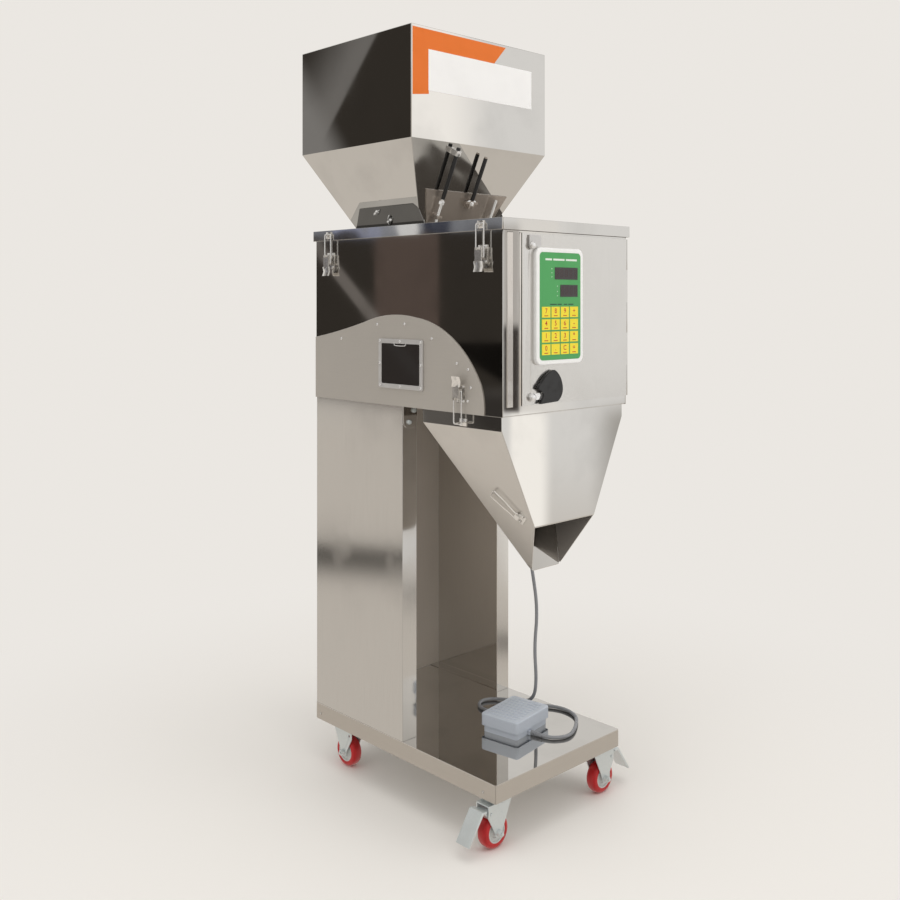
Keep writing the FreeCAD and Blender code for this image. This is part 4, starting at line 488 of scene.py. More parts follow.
def heads_tree():
    """Each point of the piece gets the head, turned to the point's own way."""
    tree = bpy.data.node_groups.new("Heads on points", "GeometryNodeTree")
    sockets = tree.interface
    sockets.new_socket("Geometry", in_out="INPUT", socket_type="NodeSocketGeometry")
    sockets.new_socket("Head", in_out="INPUT", socket_type="NodeSocketObject")
    sockets.new_socket("Size", in_out="INPUT", socket_type="NodeSocketFloat")
    sockets.new_socket("Seed", in_out="INPUT", socket_type="NodeSocketInt")
    sockets.new_socket("Finish", in_out="INPUT", socket_type="NodeSocketMaterial")
    sockets.new_socket("Geometry", in_out="OUTPUT", socket_type="NodeSocketGeometry")
    given, out = tree.nodes.new("NodeGroupInput"), tree.nodes.new("NodeGroupOutput")
    head = add_node(tree, "GeometryNodeObjectInfo")
    way = add_node(tree, "GeometryNodeInputNamedAttribute", data_type="FLOAT_VECTOR")
    way.inputs["Name"].default_value = "way"
    align = add_node(tree, "FunctionNodeAlignRotationToVector", axis="Z")
    spin = add_node(tree, "FunctionNodeRandomValue", data_type="FLOAT")
    spin.inputs[3].default_value = 6.283
    about = add_node(tree, "FunctionNodeAxisAngleToRotation")
    turn = add_node(tree, "FunctionNodeRotateRotation", rotation_space="LOCAL")
    stand = add_node(tree, "GeometryNodeInstanceOnPoints")
    real = add_node(tree, "GeometryNodeRealizeInstances")
    paint = add_node(tree, "GeometryNodeSetMaterial")
    wire(tree, [
        (given.outputs["Geometry"], stand.inputs["Points"]), (given.outputs["Head"], head.inputs["Object"]),
        (head.outputs["Geometry"], stand.inputs["Instance"]),
        (way.outputs["Attribute"], align.inputs["Vector"]),
        (given.outputs["Seed"], spin.inputs["Seed"]), (spin.outputs[1], about.inputs["Angle"]),
        (align.outputs["Rotation"], turn.inputs["Rotation"]),
        (about.outputs["Rotation"], turn.inputs["Rotate By"]),
        (turn.outputs["Rotation"], stand.inputs["Rotation"]), (given.outputs["Size"], stand.inputs["Scale"]),
        (stand.outputs["Instances"], real.inputs["Geometry"]),
        (real.outputs["Geometry"], paint.inputs["Geometry"]),
        (given.outputs["Finish"], paint.inputs["Material"]),
        (paint.outputs["Geometry"], out.inputs["Geometry"]),
    ])
    return tree


def set_input(modifier, label, value):
    """Set a modifier's input by its socket's identifier."""
    for item in modifier.node_group.interface.items_tree:
        if item.item_type == "SOCKET" and item.in_out == "INPUT" and item.name == label:
            modifier[item.identifier] = value


def stand_heads(name, head, places, size, body, material, seed=1):
    """Put heads on (place, way) pairs given in millimetres, as one plain mesh on a body."""
    mesh = bpy.data.meshes.new(name)
    mesh.from_pydata([Vector(place) * MM for place, way in places], [], [])
    ways = mesh.attributes.new("way", "FLOAT_VECTOR", "POINT")
    for index, (place, way) in enumerate(places):
        ways.data[index].vector = way
    obj = new_object(name, mesh)
    modifier = obj.modifiers.new("Heads", "NODES")
    if "heads" not in GROUPS:
        GROUPS["heads"] = heads_tree()
    modifier.node_group = GROUPS["heads"]
    set_input(modifier, "Head", head)
    set_input(modifier, "Size", size)
    set_input(modifier, "Seed", seed)
    set_input(modifier, "Finish", material)
    baked(obj)
    smooth(obj, 40)
    return carry(obj, body)


def head_mesh(kind):
    """A head one millimetre in radius that sits on Z 0: cross, socket, rivet or nut."""
    form = bmesh.new()
    level = Matrix.Identity(4)
    if kind == "nut":
        turned(
            form,
            [
                (0, -0.3), (1.0, -0.3), (1.0, 0.0), (1.0, 0.75), (0.86, 0.9), (0.5, 0.9), (0.5, 1.15),
                (0.38, 1.3), (0, 1.3),
            ],
            level, 6,
        )
    else:
        turned(
            form,
            [
                (0, -0.2), (1.0, -0.2), (1.0, 0.12), (0.96, 0.3), (0.8, 0.5), (0.55, 0.62), (0.28, 0.67),
                (0, 0.68),
            ],
            level, 24,
        )
    head = from_bmesh("head_" + kind, closed(form))
    if kind in ("cross", "socket"):
        form = bmesh.new()
        if kind == "cross":
            add_box(form, (-0.55, -0.10, 0.36), (0.55, 0.10, 1.0))
            add_box(form, (-0.10, -0.55, 0.36), (0.10, 0.55, 1.0))
        else:
            turned(form, [(0, 0.25), (0.42, 0.25), (0.42, 1.0), (0, 1.0)], level, 6)
        cutter = from_bmesh("cutter", closed(form))
        cut = head.modifiers.new("Recess", "BOOLEAN")
        cut.operation = "DIFFERENCE"
        cut.object = cutter
        cut.use_self = True
        baked(head)
        bpy.data.objects.remove(cutter)
    return head


# Camera and studio

class FILLER_OT_camera(bpy.types.Operator):
    """Stand the camera where the photograph was taken"""
    bl_idname = "filler.camera"
    bl_label = "Camera"

    def execute(self, context):
        data = bpy.data.cameras.new("Camera")
        data.sensor_fit = "HORIZONTAL"
        data.sensor_width = 36
        data.lens = 41.57
        data.shift_y = -0.1677
        data.clip_end = 100
        camera = bpy.data.objects.new("Camera", data)
        context.scene.collection.objects.link(camera)
        camera.location = (-1.5209, -1.5692, 1.0018)
        camera.rotation_euler = (math.radians(90), 0, math.radians(-43.48))
        context.scene.camera = camera
        return {"FINISHED"}


class FILLER_OT_cord(bpy.types.Operator):
    """Hang the foot switch's cord from its gland and lay it in loops on the tray"""
    bl_idname = "filler.cord"
    bl_label = "Cord"

    # The route of the cord in millimetres, as in the part's source
    ROUTE = [
        (117.0, -44.0, 768.1), (117.0, -44.0, 700.0), (116.0, -55.0, 612.0), (115.0, -74.0, 520.0),
        (121.0, -91.0, 430.0),
        (126.0, -102.0, 345.0), (111.0, -106.0, 270.0), (111.0, -112.0, 205.0), (120.0, -98.0, 160.0),
        (128.0, -62.0, 138.0),
        (121.0, -18.0, 133.2), (91.8, 15.7, 133.0), (63.0, 11.9, 133.0), (45.3, -11.2, 133.0),
        (49.1, -40.0, 133.0),
        (72.2, -57.7, 133.0), (104.0, -61.0, 133.2), (142.0, -82.0, 133.4), (168.0, -116.0, 133.0),
        (171.0, -150.0, 133.0),
        (158.0, -182.0, 133.0), (126.0, -207.0, 133.0), (91.7, -226.9, 133.0), (68.0, -231.0, 133.0),
        (45.8, -219.5, 133.0),
        (35.6, -202.5, 133.3), (30.66, -171.29, 133.3),
    ]

    def execute(self, context):
        sizes = context.scene.filler_sizes
        curve = bpy.data.curves.new("foot_switch_cord", "CURVE")
        curve.dimensions = "3D"
        curve.resolution_u = 12
        curve.bevel_depth = sizes.cord / 2
        curve.bevel_resolution = 6
        curve.use_fill_caps = True
        spline = curve.splines.new("NURBS")
        spline.points.add(len(self.ROUTE) - 1)
        for point, place in zip(spline.points, self.ROUTE):
            point.co = (*[value * MM for value in place], 1)
        spline.order_u = 3
        spline.use_endpoint_u = True
        cord = bpy.data.objects.new("foot_switch_cord", curve)
        context.scene.collection.objects.link(cord)
        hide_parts("foot_cord")
        carry(cord, "machine", FINISHES["cord_sheath"])
        ends = ((self.ROUTE[0], self.ROUTE[1], "gland_relief"), (
            self.ROUTE[-1], self.ROUTE[-2], "switch_relief",
        ))
        for place, following, name in ends:
            way = Vector(following) - Vector(place)
            form = bmesh.new()
            profile = [(3.6, -1.0), (5.6, -1.0), (5.6, 2.0)]
            for ring in range(5):
                high = 3.0 + 4.0 * ring
                radius = 5.3 - 0.28 * ring
                profile += [
                    (radius - 0.9, high), (radius - 0.9, high + 1.0), (radius, high + 1.4),
                    (radius - 0.1, high + 3.4),
                ]
            profile += [(3.9, 24.0), (3.6, 24.5)]
            turned(form, profile, frame_at(place, way), 28)
            relief = smooth(from_bmesh(name, closed(form)))
            carry(relief, "machine", FINISHES["cord_sheath"])
        return {"FINISHED"}


# Sheet metal and the other pieces that keep their solids' shape

class FILLER_OT_sheets(bpy.types.Operator):
    """Round the folds of the sheet metal and give each piece its finish"""
    bl_idname = "filler.sheets"
    bl_label = "Sheet metal"

    PIECES = {
        "polished_sheet": ["base_tray", "front_frame", "hopper", "chute"],
        "plate_sheet": ["gate_plate"],
        # Painted dark reflection on the saddle plates
        "dark_sheet": ["saddle_plates"],
        "lid_sheet": ["lid"],
        "dark_polish": ["housing_shell"],
        "column_sheet": ["column_shell", "housing_floor"],
        "blasted_sheet": ["side_covers"],
        "satin_sheet": ["weigh_bucket", "bucket_flap", "feeder_trough", "base_frame"],
        "door_sheet": ["front_door"],
        "frame_plate": ["window_frame"],
        "bright_plate": ["gate_guides"],
    }

    def execute(self, context):
        sizes = context.scene.filler_sizes
        for name, nodes in self.PIECES.items():
            for node in nodes:
                piece = rounded_piece(node, FINISHES[name], sizes.fold, 2, sizes.bend)
                if node in self.REGIONS:
                    self.second_finish(piece, *self.REGIONS[node])
                if node == "chute":
                    self.slopes(piece)
                    self.clasp()
        return {"FINISHED"}

    def clasp(self):
        """The wire clasp on the chute's left slope."""
        away = Vector((-0.902, 0.0, -0.431)).normalized()
        start = Vector((-116.4, -208.0, 640.0))
        down = (Vector((-91.8, -264.0, 589.0)) - start).normalized()
        aside = away.cross(down)
        rise, thick, sides = 5.5, 1.5, 10
        form = bmesh.new()
        outline = [
            (2, -10), (0, -8), (0, 8), (2, 10), (30, 9), (54, 6), (62, 8), (66, 7), (66, -7), (62, -8),
            (54, -6), (30, -9),
        ]
        points = [(start + down * s + aside * t + away * rise) * MM for s, t in outline]
        rings = []
        for index, point in enumerate(points):
            ahead = (points[(index + 1) % len(points)] - points[index - 1]).normalized()
            side = ahead.cross(away).normalized()
            turns = [2 * math.pi * step / sides for step in range(sides)]
            rings.append(
                [
                    form.verts.new(
                        point + (side * math.cos(a) + away * math.sin(a)) * thick * MM
                    ) for a in turns
                ]
            )
        for ring, after in zip(rings, rings[1:] + rings[:1]):
            for step in range(sides):
                form.faces.new((ring[step], ring[step - 1], after[step - 1], after[step]))
        turn = Matrix((aside, down, away)).transposed().to_4x4()
        for s, t, wide, deep, low, high in ((72, 0, 24, 16, 0, 1.5), (64, 0, 12, 10, 1.5, 7.5)):
            middle = (start + down * s + aside * t + away * (low + high) / 2) * MM
            size = Matrix.Diagonal((wide * MM, deep * MM, (high - low) * MM, 1))
            bmesh.ops.create_cube(form, size=1, matrix=Matrix.Translation(middle) @ turn @ size)
        for t in (-8, 8):
            foot = Matrix.Translation((start + down * 73 + aside * t) * MM) @ turn
            turned(form, [(0, 0.5), (3.4, 0.5), (3.4, 3.0), (2.2, 4.2), (0, 4.6)], foot, 20)
        bmesh.ops.recalc_face_normals(form, faces=form.faces)
        obj = from_bmesh("chute_clasp", form)
        smooth(obj, 32)
        carry(obj, "machine", FINISHES["latch_plate"])

    def slopes(self, piece):
        """The chute's sloping sides are duller than its front."""
        piece.data.materials.append(FINISHES["slope_sheet"])
        for face in piece.data.polygons:
            if abs(face.normal.x) > 0.35 and face.normal.z < -0.2 and face.normal.x * face.center.x > 0:
                face.material_index = 2

    # A second finish for faces in a box: a browner copy of the steel on the faces that look into the column and
    # into the chute, as painted shade; a brighter copy on the front of the frame's left strip, as a painted
    # highlight; satin on the skirt's upright faces
    REGIONS = {
        # Painted shade on the column's inside faces
        "column_shell": ("inner_sheet", (-180.0, -22.0, 120.0), (146.0, 266.0, 802.0), "inside"),
        # Painted shade on the chute's inside faces
        "chute": ("spout_sheet", (-176.0, -284.5, 480.0), (176.0, -73.0, 795.0), "inside"),
        # Painted highlight on the front of the frame's left strip
        "front_frame": ("fold_sheet", (-174.0, -294.0, 812.0), (-134.0, -280.0, 1135.0), "front"),
        "base_tray": ("skirt_sheet", (-200.0, -300.0, 85.0), (200.0, 300.0, 126.0), "upright"),
    }

    def second_finish(self, piece, name, low, high, kind):
        """Give the faces in a box a finish of their own."""
        middle = (Vector(low) + Vector(high)) / 2
        piece.data.materials.append(FINISHES[name])
        for face in piece.data.polygons:
            place = face.center / MM
            if not all(a <= v <= b for a, v, b in zip(low, place, high)):
                continue
            toward = Vector((middle.x - place.x, middle.y - place.y, 0))
            if kind == "front" and face.normal.y < -0.8:
                face.material_index = 1
            elif kind == "upright" and abs(face.normal.z) < 0.5:
                face.material_index = 1
            elif kind == "inside" and (
                face.normal.dot(toward) > 0 or face.normal.z > 0.9
            ) and face.area > 1e-4:
                face.material_index = 1


class FILLER_OT_fittings(bpy.types.Operator):
    """Finish the latches, casters, switchgear and dosing works"""
    bl_idname = "filler.fittings"
    bl_label = "Fittings"

    PIECES = {
        "zinc_plate": ["caster_plates"],
        "latch_plate": ["latch_fixings"],
        "frame_plate": ["upper_turn_tab"],
        "milled_alloy": ["feeder_stand", "load_cell"],
        "cast_paint": ["feeder_magnet"],
        "satin_sheet": ["feeder_springs"],
        "board_green": ["control_board"],
        "black_moulding": ["power_inlet"],
        "blue_grey_enamel": ["foot_base"],
        "red_moulding": ["power_rocker"],
        "grey_moulding": ["cable_gland"],
        "smoked_pane": ["window_pane"],
    }

    def execute(self, context):
        fold = context.scene.filler_sizes.fold
        pieces = {name: list(nodes) for name, nodes in self.PIECES.items()}
        for node in NODES:
            if node.startswith(("fork_", "brake_")):
                pieces["zinc_plate"].append(node)
            if node.startswith("latch_lever"):
                pieces["latch_plate"].append(node)
        for name, nodes in pieces.items():
            for node in nodes:
                rounded_piece(node, FINISHES[name], fold * 0.7)
        for node in NODES:
            if node.startswith("latch_bail"):
                rounded_piece(node, FINISHES["bright_plate"], 0)
        return {"FINISHED"}


# Hopper and gate

class FILLER_OT_hopper(bpy.types.Operator):
    """Lay the blank label and its film on the bin's front"""
    bl_idname = "filler.hopper"
    bl_label = "Bin front"

    def execute(self, context):
        front = -62.1
        film = [
            (-191.5, 1398.0), (-149.0, 1404.0), (-149.0, 1414.0), (0.0, 1470.0), (34.0, 1491.0),
            (70.0, 1530.5), (-191.5, 1530.5),
        ]
        self.stick("bin_film", film, front, 0.15, FINISHES["orange_film"])
        label = [(-150, 1411), (150, 1411), (150, 1492), (-150, 1492)]
        self.stick("bin_label", label, front - 0.15, 0.2, FINISHES["white_film"])
        return {"FINISHED"}

    def stick(self, name, outline, front, thick, material):
        form = bmesh.new()
        near = [form.verts.new((x * MM, (front - thick) * MM, z * MM)) for x, z in outline]
        far = [form.verts.new((x * MM, (front + 0.05) * MM, z * MM)) for x, z in outline]
        form.faces.new(near)
        form.faces.new(far[::-1])
        count = len(outline)
        for index in range(count):
            after = (index + 1) % count
            form.faces.new((near[index], far[index], far[after], near[after]))
        obj = from_bmesh(name, closed(form))
        carry(obj, "machine", material)


class FILLER_OT_gate(bpy.types.Operator):
    """Sleeves, nuts and wing nuts of the gate's rods and the saddle plates"""
    bl_idname = "filler.gate"
    bl_label = "Gate fittings"

    TILT = math.atan2(62.1 + 42.5, 1315.2 - 1095.0)

    def on_face(self, x, out, up):
        """A place on the funnel's sloping front, from the millimetres across, outwards and up the slope."""
        along = Vector((0, -math.sin(self.TILT), math.cos(self.TILT)))
        away = Vector((0, -math.cos(self.TILT), -math.sin(self.TILT)))
        return Vector((x, 42.5, 1095.0)) + along * up + away * out

    def execute(self, context):
        radius = context.scene.filler_sizes.sleeve / MM
        way = Vector((0, -math.sin(self.TILT), math.cos(self.TILT)))
        sleeves = (("guide_sleeve", "gate", -76.0, 128.0, 110.0, radius), (
            "pull_sleeve", "gate", 7.0, 131.0, 93.0, radius,
        ))
        for name, body, x, low, long, thick in sleeves:
            form = bmesh.new()
            profile = [
                (0, 0), (thick - 0.2, 0), (thick, 0.8), (thick, long - 0.8), (thick - 0.4, long), (0, long),
            ]
            turned(form, profile, frame_at(self.on_face(x, 13.0, low), way), 24)
            carry(smooth(from_bmesh(name, closed(form))), body, FINISHES["black_rubber"])
        nut = head_mesh("nut")
        stops = [(self.on_face(-76.0, 13.0, 119.0), way), (self.on_face(76.0, 13.0, 86.0), way)]
        stand_heads("rod_nuts", nut, stops, 6.2, "gate", FINISHES["bright_plate"])
        bpy.data.objects.remove(nut)
        self.wing_nut("gate_wing_nut", self.on_face(7.0, 13.0, 122.0), way, "gate")
        for side in (-1, 1):
            for place, turn in (((side * 122.0, 127.0, 1186.0), 0.4), ((side * 112.0, 96.0, 1168.0), 1.2)):
                label = f"saddle_wing_nut_{'left' if side < 0 else 'right'}_{'high' if turn < 1 else 'low'}"
                self.wing_nut(label, place, (side * 0.87, 0, -0.5), "machine", turn)
        return {"FINISHED"}

    def wing_nut(self, name, place, way, body, spin=0.0):
        form = bmesh.new()
        matrix = frame_at(place, way, spin)
        turned(
            form,
            [
                (0, -4), (3.0, -4), (3.0, -1), (5.6, -1), (5.2, 4), (3.6, 6.5), (3.0, 6.5), (3.0, 10),
                (2.4, 11), (0, 11),
            ],
            matrix, 20,
        )
        for side in (-1, 1):
            verts = bmesh.ops.create_uvsphere(form, u_segments=14, v_segments=8, radius=1.0)["verts"]
            ear = matrix @ Matrix.Translation(Vector((side * 8.5, 0, 5.0)) * MM)
            ear = ear @ Matrix.Rotation(side * 0.55, 4, "Y") @ Matrix.Diagonal(
                (6.2 * MM, 1.5 * MM, 3.6 * MM, 1)
            )
            bmesh.ops.transform(form, matrix=ear, verts=verts)
        carry(smooth(from_bmesh(name, closed(form)), 50), body, FINISHES["bright_plate"])


# Control panel, door and window

class FILLER_OT_panel(bpy.types.Operator):
    """Dress the bezel, key foil, keys, digits and display windows"""
    bl_idname = "filler.panel"
    bl_label = "Control panel"

    ROWS = ("789+", "456-", "123*", "0.C=")

    def execute(self, context):
        digit = context.scene.filler_sizes.digit
        rounded_piece("control_bezel", FINISHES["white_moulding"], 0.0008, 3)
        rounded_piece("control_overlay", FINISHES["green_print"], 0.0001, 1)
        rounded_piece("display_windows", FINISHES["display_filter"], 0.0002, 2)
        low, high = [Vector(corner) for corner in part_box("keypad_keys")]
        front = low.y
        across, up = (high.x - low.x - 23.5 * MM) / 3, (high.z - low.z - 20.0 * MM) / 3
        form = bmesh.new()
        for column in range(4):
            for rank in range(4):
                left, foot = low.x + column * across, low.z + rank * up
                corner = Vector((left, front, foot)) / MM
                add_box(form, corner, corner + Vector((23.5, 0.5, 20.0)))
        keys = from_bmesh("printed_keys", form)
        bevel = keys.modifiers.new("Corners", "BEVEL")
        bevel.width = 0.0002
        bevel.segments = 2
        baked(keys)
        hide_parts("keypad_keys")
        carry(keys, "door", FINISHES["yellow_print"])
        marks = []
        for rank, row in enumerate(self.ROWS):
            for column, sign in enumerate(row):
                middle = (low.x + column * across + 11.75 * MM, low.z + (3 - rank) * up + 12.0 * MM)
                marks.append((sign, middle, digit))
        self.print_signs("key_digits", marks, front, FINISHES["red_print"], "yellow_keys")
        bars = bmesh.new()
        for rank in range(4):
            for column in range(4):
                left, foot = (low.x + column * across) / MM, (low.z + rank * up) / MM
                add_box(bars, (left + 6.5, front / MM - 0.04, foot + 2.6), (
                    left + 17.0, front / MM, foot + 4.2,
                ))
        carry(from_bmesh("key_underlines", bars), "door", FINISHES["red_print"])
        self.header_and_displays()
        return {"FINISHED"}

    def print_signs(self, name, marks, front, material, slot_name):
        """Printed signs as one thin mesh that faces forward."""
        form = bmesh.new()
        for sign, (x, z), size in marks:
            text = bpy.data.curves.new("sign", "FONT")
            text.body = sign
            text.size = size * 1.35
            text.align_x = "CENTER"
            text.align_y = "CENTER"
            text.extrude = 0.00003
            text.offset = 0.00018
            holder = new_object("sign", text)
            depsgraph = bpy.context.evaluated_depsgraph_get()
            mesh = bpy.data.meshes.new_from_object(holder.evaluated_get(depsgraph))
            mesh.transform(Matrix.Translation((x, front - 0.00002, z)) @ Matrix.Rotation(math.pi / 2, 4, "X"))
            form.from_mesh(mesh)
            bpy.data.objects.remove(holder)
            bpy.data.meshes.remove(mesh)
        carry(from_bmesh(name, form), "door", material)

    def header_and_displays(self):
        """Plain bars in place of words, lamps beside the displays and their unlit segments."""
        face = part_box("control_overlay")[0][1] / MM
        bars = bmesh.new()
        for left, right in ((-76, -58), (-54, -22), (-18, 14)):
            add_box(bars, (left, face - 0.05, 1073.5), (right, face + 0.01, 1077.0))
        for z in (1058, 1050.5, 1043, 1026, 1016, 1008):
            x = -58 if z > 1035 else -42.5
            turned(
                bars, [(0, 0.02), (0.9, 0.02), (0.9, -0.12), (0, -0.12)], frame_at((x, face, z), (0, 1, 0)),
                12,
            )
        carry(from_bmesh("header_bars", closed(bars)), "door", FINISHES["pale_print"])
        caption = bmesh.new()
        for left, right in ((-63, -44), (-42, -30), (-24, -14), (-11, 4)):
            add_box(caption, (left, face - 0.05, 990.8), (right, face + 0.01, 993.0))
        carry(from_bmesh("caption_bars", caption), "door", FINISHES["dark_print"])
        low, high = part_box("display_windows")
        front = low[1] / MM
        segments = bmesh.new()
        for left, foot, count, wide in ((-50.0, 1038.5, 5, 66.0), (-34.5, 1006.0, 4, 50.5)):
            pitch = wide / count
            for index in range(count):
                x = left + pitch * (index + 0.5)
                self.seven(segments, x, foot + 11.25, front)
        carry(from_bmesh("display_segments", segments), "door", FINISHES["unlit_segment"])

    def seven(self, form, x, z, front):
        """One seven-segment figure."""
        wide, tall, thin = 3.1, 6.2, 0.75
        for level in (-tall, 0, tall):
            add_box(form, (x - wide + 0.9, front - 0.03, z + level - thin), (
                x + wide - 0.9, front, z + level + thin,
            ))
        for side in (-wide, wide):
            for level in (-tall, 0):
                add_box(
                    form, (x + side - thin, front - 0.03, z + level + 1.1),
                    (x + side + thin, front, z + level + tall - 1.1),
                )


class FILLER_OT_handle(bpy.types.Operator):
    """The lower turn handle: a plated arm with a black grip"""
    bl_idname = "filler.handle"
    bl_label = "Turn handle"

    def execute(self, context):
        fold = context.scene.filler_sizes.fold
        handle = rounded_piece("lower_turn_handle", FINISHES["bright_plate"], fold)
        handle.data.materials.append(FINISHES["black_rubber"])
        for face in handle.data.polygons:
            if face.center.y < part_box("upper_turn_tab")[0].y - 0.0004:
                face.material_index = 1
        return {"FINISHED"}


class FILLER_OT_window(bpy.types.Operator):
    """A finger tab on the window pane"""
    bl_idname = "filler.window"
    bl_label = "Window tab"

    def execute(self, context):
        curve = bpy.data.curves.new("window_tab", "CURVE")
        curve.dimensions = "3D"
        curve.bevel_depth = 0.0009
        curve.bevel_resolution = 4
        spline = curve.splines.new("NURBS")
        points = [(-184.9, 0.0, 916.0), (-185.6, 0.0, 911.5), (-185.6, -3.0, 909.8), (-185.6, -17.6, 909.4),
                  (-185.6, -32.0, 909.8), (-185.6, -35.2, 911.5), (-184.9, -35.2, 916.0)]
        spline.points.add(len(points) - 1)
        for point, place in zip(spline.points, points):
            point.co = (*[value * MM for value in place], 1)
        spline.order_u = 3
        spline.use_endpoint_u = True
        holder = new_object("window_tab_line", curve)
        depsgraph = context.evaluated_depsgraph_get()
        tab = new_object("window_tab", bpy.data.meshes.new_from_object(holder.evaluated_get(depsgraph)))
        bpy.data.objects.remove(holder)
        carry(smooth(tab), "machine", FINISHES["bright_plate"])
        return {"FINISHED"}


# Casters and foot switch

class FILLER_OT_wheels(bpy.types.Operator):
    """Red tyres on dished pale hubs"""
    bl_idname = "filler.wheels"
    bl_label = "Wheels"

    def execute(self, context):
        for joint in frame["joints"]:
            if not joint["name"].startswith("wheel_spin_"):
                continue
            name = joint["name"].replace("wheel_spin_", "")
            matrix = frame_at(Vector(joint["pos_m"]) / MM, joint["axis"])
            tyre = [
                (20.6, -11.2), (21.6, -12.0), (24.5, -12.0), (27.8, -11.0), (30.3, -8.4), (31.3, -4.6),
                (31.5, 0.0),
            ]
            tyre += [(radius, -level) for radius, level in tyre[-2::-1]]
            form = bmesh.new()
            turned(form, tyre, matrix, 72)
            piece = smooth(from_bmesh("tyre_" + name, closed(form)), 60)
            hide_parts("wheel_" + name)
            carry(piece, "roller_" + name, FINISHES["red_tread"])
            side = [(4.1, 13.1), (7.0, 13.1), (7.6, 12.4), (8.2, 9.0), (10.5, 8.2), (11.5, 9.2), (13.0, 9.2),
                    (14.0, 8.0), (17.6, 8.0),
                    (18.6, 10.6), (20.4, 11.3), (20.9, 11.0)]
            form = bmesh.new()
            turned(form, side + [(radius, -level) for radius, level in side[::-1]], matrix, 72)
            hub = smooth(from_bmesh("hub_" + name, closed(form)), 40)
            carry(hub, "roller_" + name, FINISHES["hub_nylon"])
        return {"FINISHED"}


class FILLER_OT_pedal(bpy.types.Operator):
    """The foot switch's enamelled shell"""
    bl_idname = "filler.pedal"
    bl_label = "Foot pedal"

    def execute(self, context):
        rounded_piece("foot_pedal", FINISHES["blue_grey_enamel"], 0.0008, 3)
        return {"FINISHED"}


# Screws, rivets and nuts

class FILLER_OT_fasteners(bpy.types.Operator):
    """Stand the screws, rivets and nuts on their surfaces"""
    bl_idname = "filler.fasteners"
    bl_label = "Fasteners"

    COVER = [
        (174, 919), (56, 951), (-28, 953), (-107, 926), (-176, 882), (-206, 872), (-213, 839), (-205, 814),
    ]

    def execute(self, context):
        radius = context.scene.filler_sizes.screw / MM
        cross, rivet, nut = head_mesh("cross"), head_mesh("rivet"), head_mesh("nut")
        left, right, front, back, down = (-1, 0, 0), (1, 0, 0), (0, -1, 0), (0, 1, 0), (0, 0, -1)
        bright, zinc = FINISHES["bright_plate"], FINISHES["zinc_plate"]
        window = []
        for y in (-1, 0, 1):
            for z in (-1, 0, 1):
                if y or z:
                    window.append(((-185.5, -17.6 + y * 61.4, 873.8 + z * 44.3), left))
        stand_heads("window_screws", cross, window, radius, "machine", bright, 3)
        covers = [
            ((-182.0, y, z), left) for y, z in self.COVER
        ] + [((182.0, y, z), right) for y, z in self.COVER]
        stand_heads("cover_screws", cross, covers, radius, "machine", bright, 5)
        hinge = [((181.2, -278.1, z), right) for z in (822, 890, 965, 1040, 1108)]
        inlet = [((110 + side * 19.5, 269.3, 850), back) for side in (-1, 1)]
        stand_heads("hinge_screws", cross, hinge + inlet, radius * 0.85, "machine", bright, 7)
        tabs = [
            ((-152.0, -21.0, 781.0), front), ((-164.5, -21.0, 758.5), front), ((152.0, 32.0, 781.0), front),
            ((164.5, 32.0, 758.5), front),
        ]
        stand_heads("tab_bolts", nut, tabs, 5.0, "machine", zinc, 9)
        self.latch_rivets(rivet, bright)
        self.caster_nuts(nut, rivet, zinc)
        others = [
            ((-180.0, -242.3, 107.4), left), ((180.0, -242.3, 107.4), right), ((-180.0, 250.0, 107.4), left),
            ((180.0, 250.0, 107.4), right),
        ]
        stand_heads("skirt_rivets", rivet, others, 2.6, "machine", FINISHES["satin_sheet"], 11)
        for name, z, body in (("upper_catch_screw", 1101.0, "upper_catch"), (
            "lower_catch_screw", 822.0, "lower_catch",
        )):
            stand_heads(
                name + "_washer", rivet, [((-106.0, -296.2, z), front)], 7.4, body, bright, 13,
            )
            stand_heads(name, cross, [((-106.0, -298.1, z), front)], 4.6, body, bright, 13)
        for head in (cross, rivet, nut):
            bpy.data.objects.remove(head)
        return {"FINISHED"}

    def latch_rivets(self, rivet, bright):
        places = []
        for side in (-1, 1):
            way = (side, 0, 0)
            for y in (213.0, -243.0):
                for across in (-8, 8):
                    places.append(((side * 181.5, y + across, 1092.0 + 4.5), way))
                    places.append(((side * 181.5, y + across, 1092.0 - 22.0), way))
                    places.append(((side * 186.9, y + across * 0.78, 1133.5), way))
            for across in (-8, 8):
                places.append(((side * 183.5, -187.0 + across, 818.0 - 4.5), way))
                places.append(((side * 183.5, -187.0 + across, 818.0 + 22.0), way))
                places.append(((side * 177.0, -187.0 + across * 0.78, 776.5), way))
        stand_heads("latch_rivets", rivet, places, 2.4, "machine", bright, 15)

    def caster_nuts(self, nut, rivet, zinc):
        plates = []
        for x in (-138, 138):
            for y in (-243, 222):
                for across in (-25, 25):
                    for along in (-18, 18):
                        plates.append(((x + across, y + along, 92.4), (0, 0, -1)))
        stand_heads("caster_plate_nuts", nut, plates, 3.9, "machine", zinc, 17)
        for joint in frame["joints"]:
            if not joint["name"].startswith("wheel_spin_"):
                continue
            name = joint["name"].replace("wheel_spin_", "")
            middle, axis = Vector(joint["pos_m"]) / MM, Vector(joint["axis"])
            ends = [(middle + axis * side * 18.5, axis * side) for side in (-1, 1)]
            stand_heads("axle_nuts_" + name, nut, ends, 6.4, "swivel_" + name, zinc, 19)
            stand_heads("axle_ends_" + name, rivet, [(place + way * 7.0, way) for place, way in ends], 3.2,
                        "swivel_" + name, zinc, 21)


# Studio

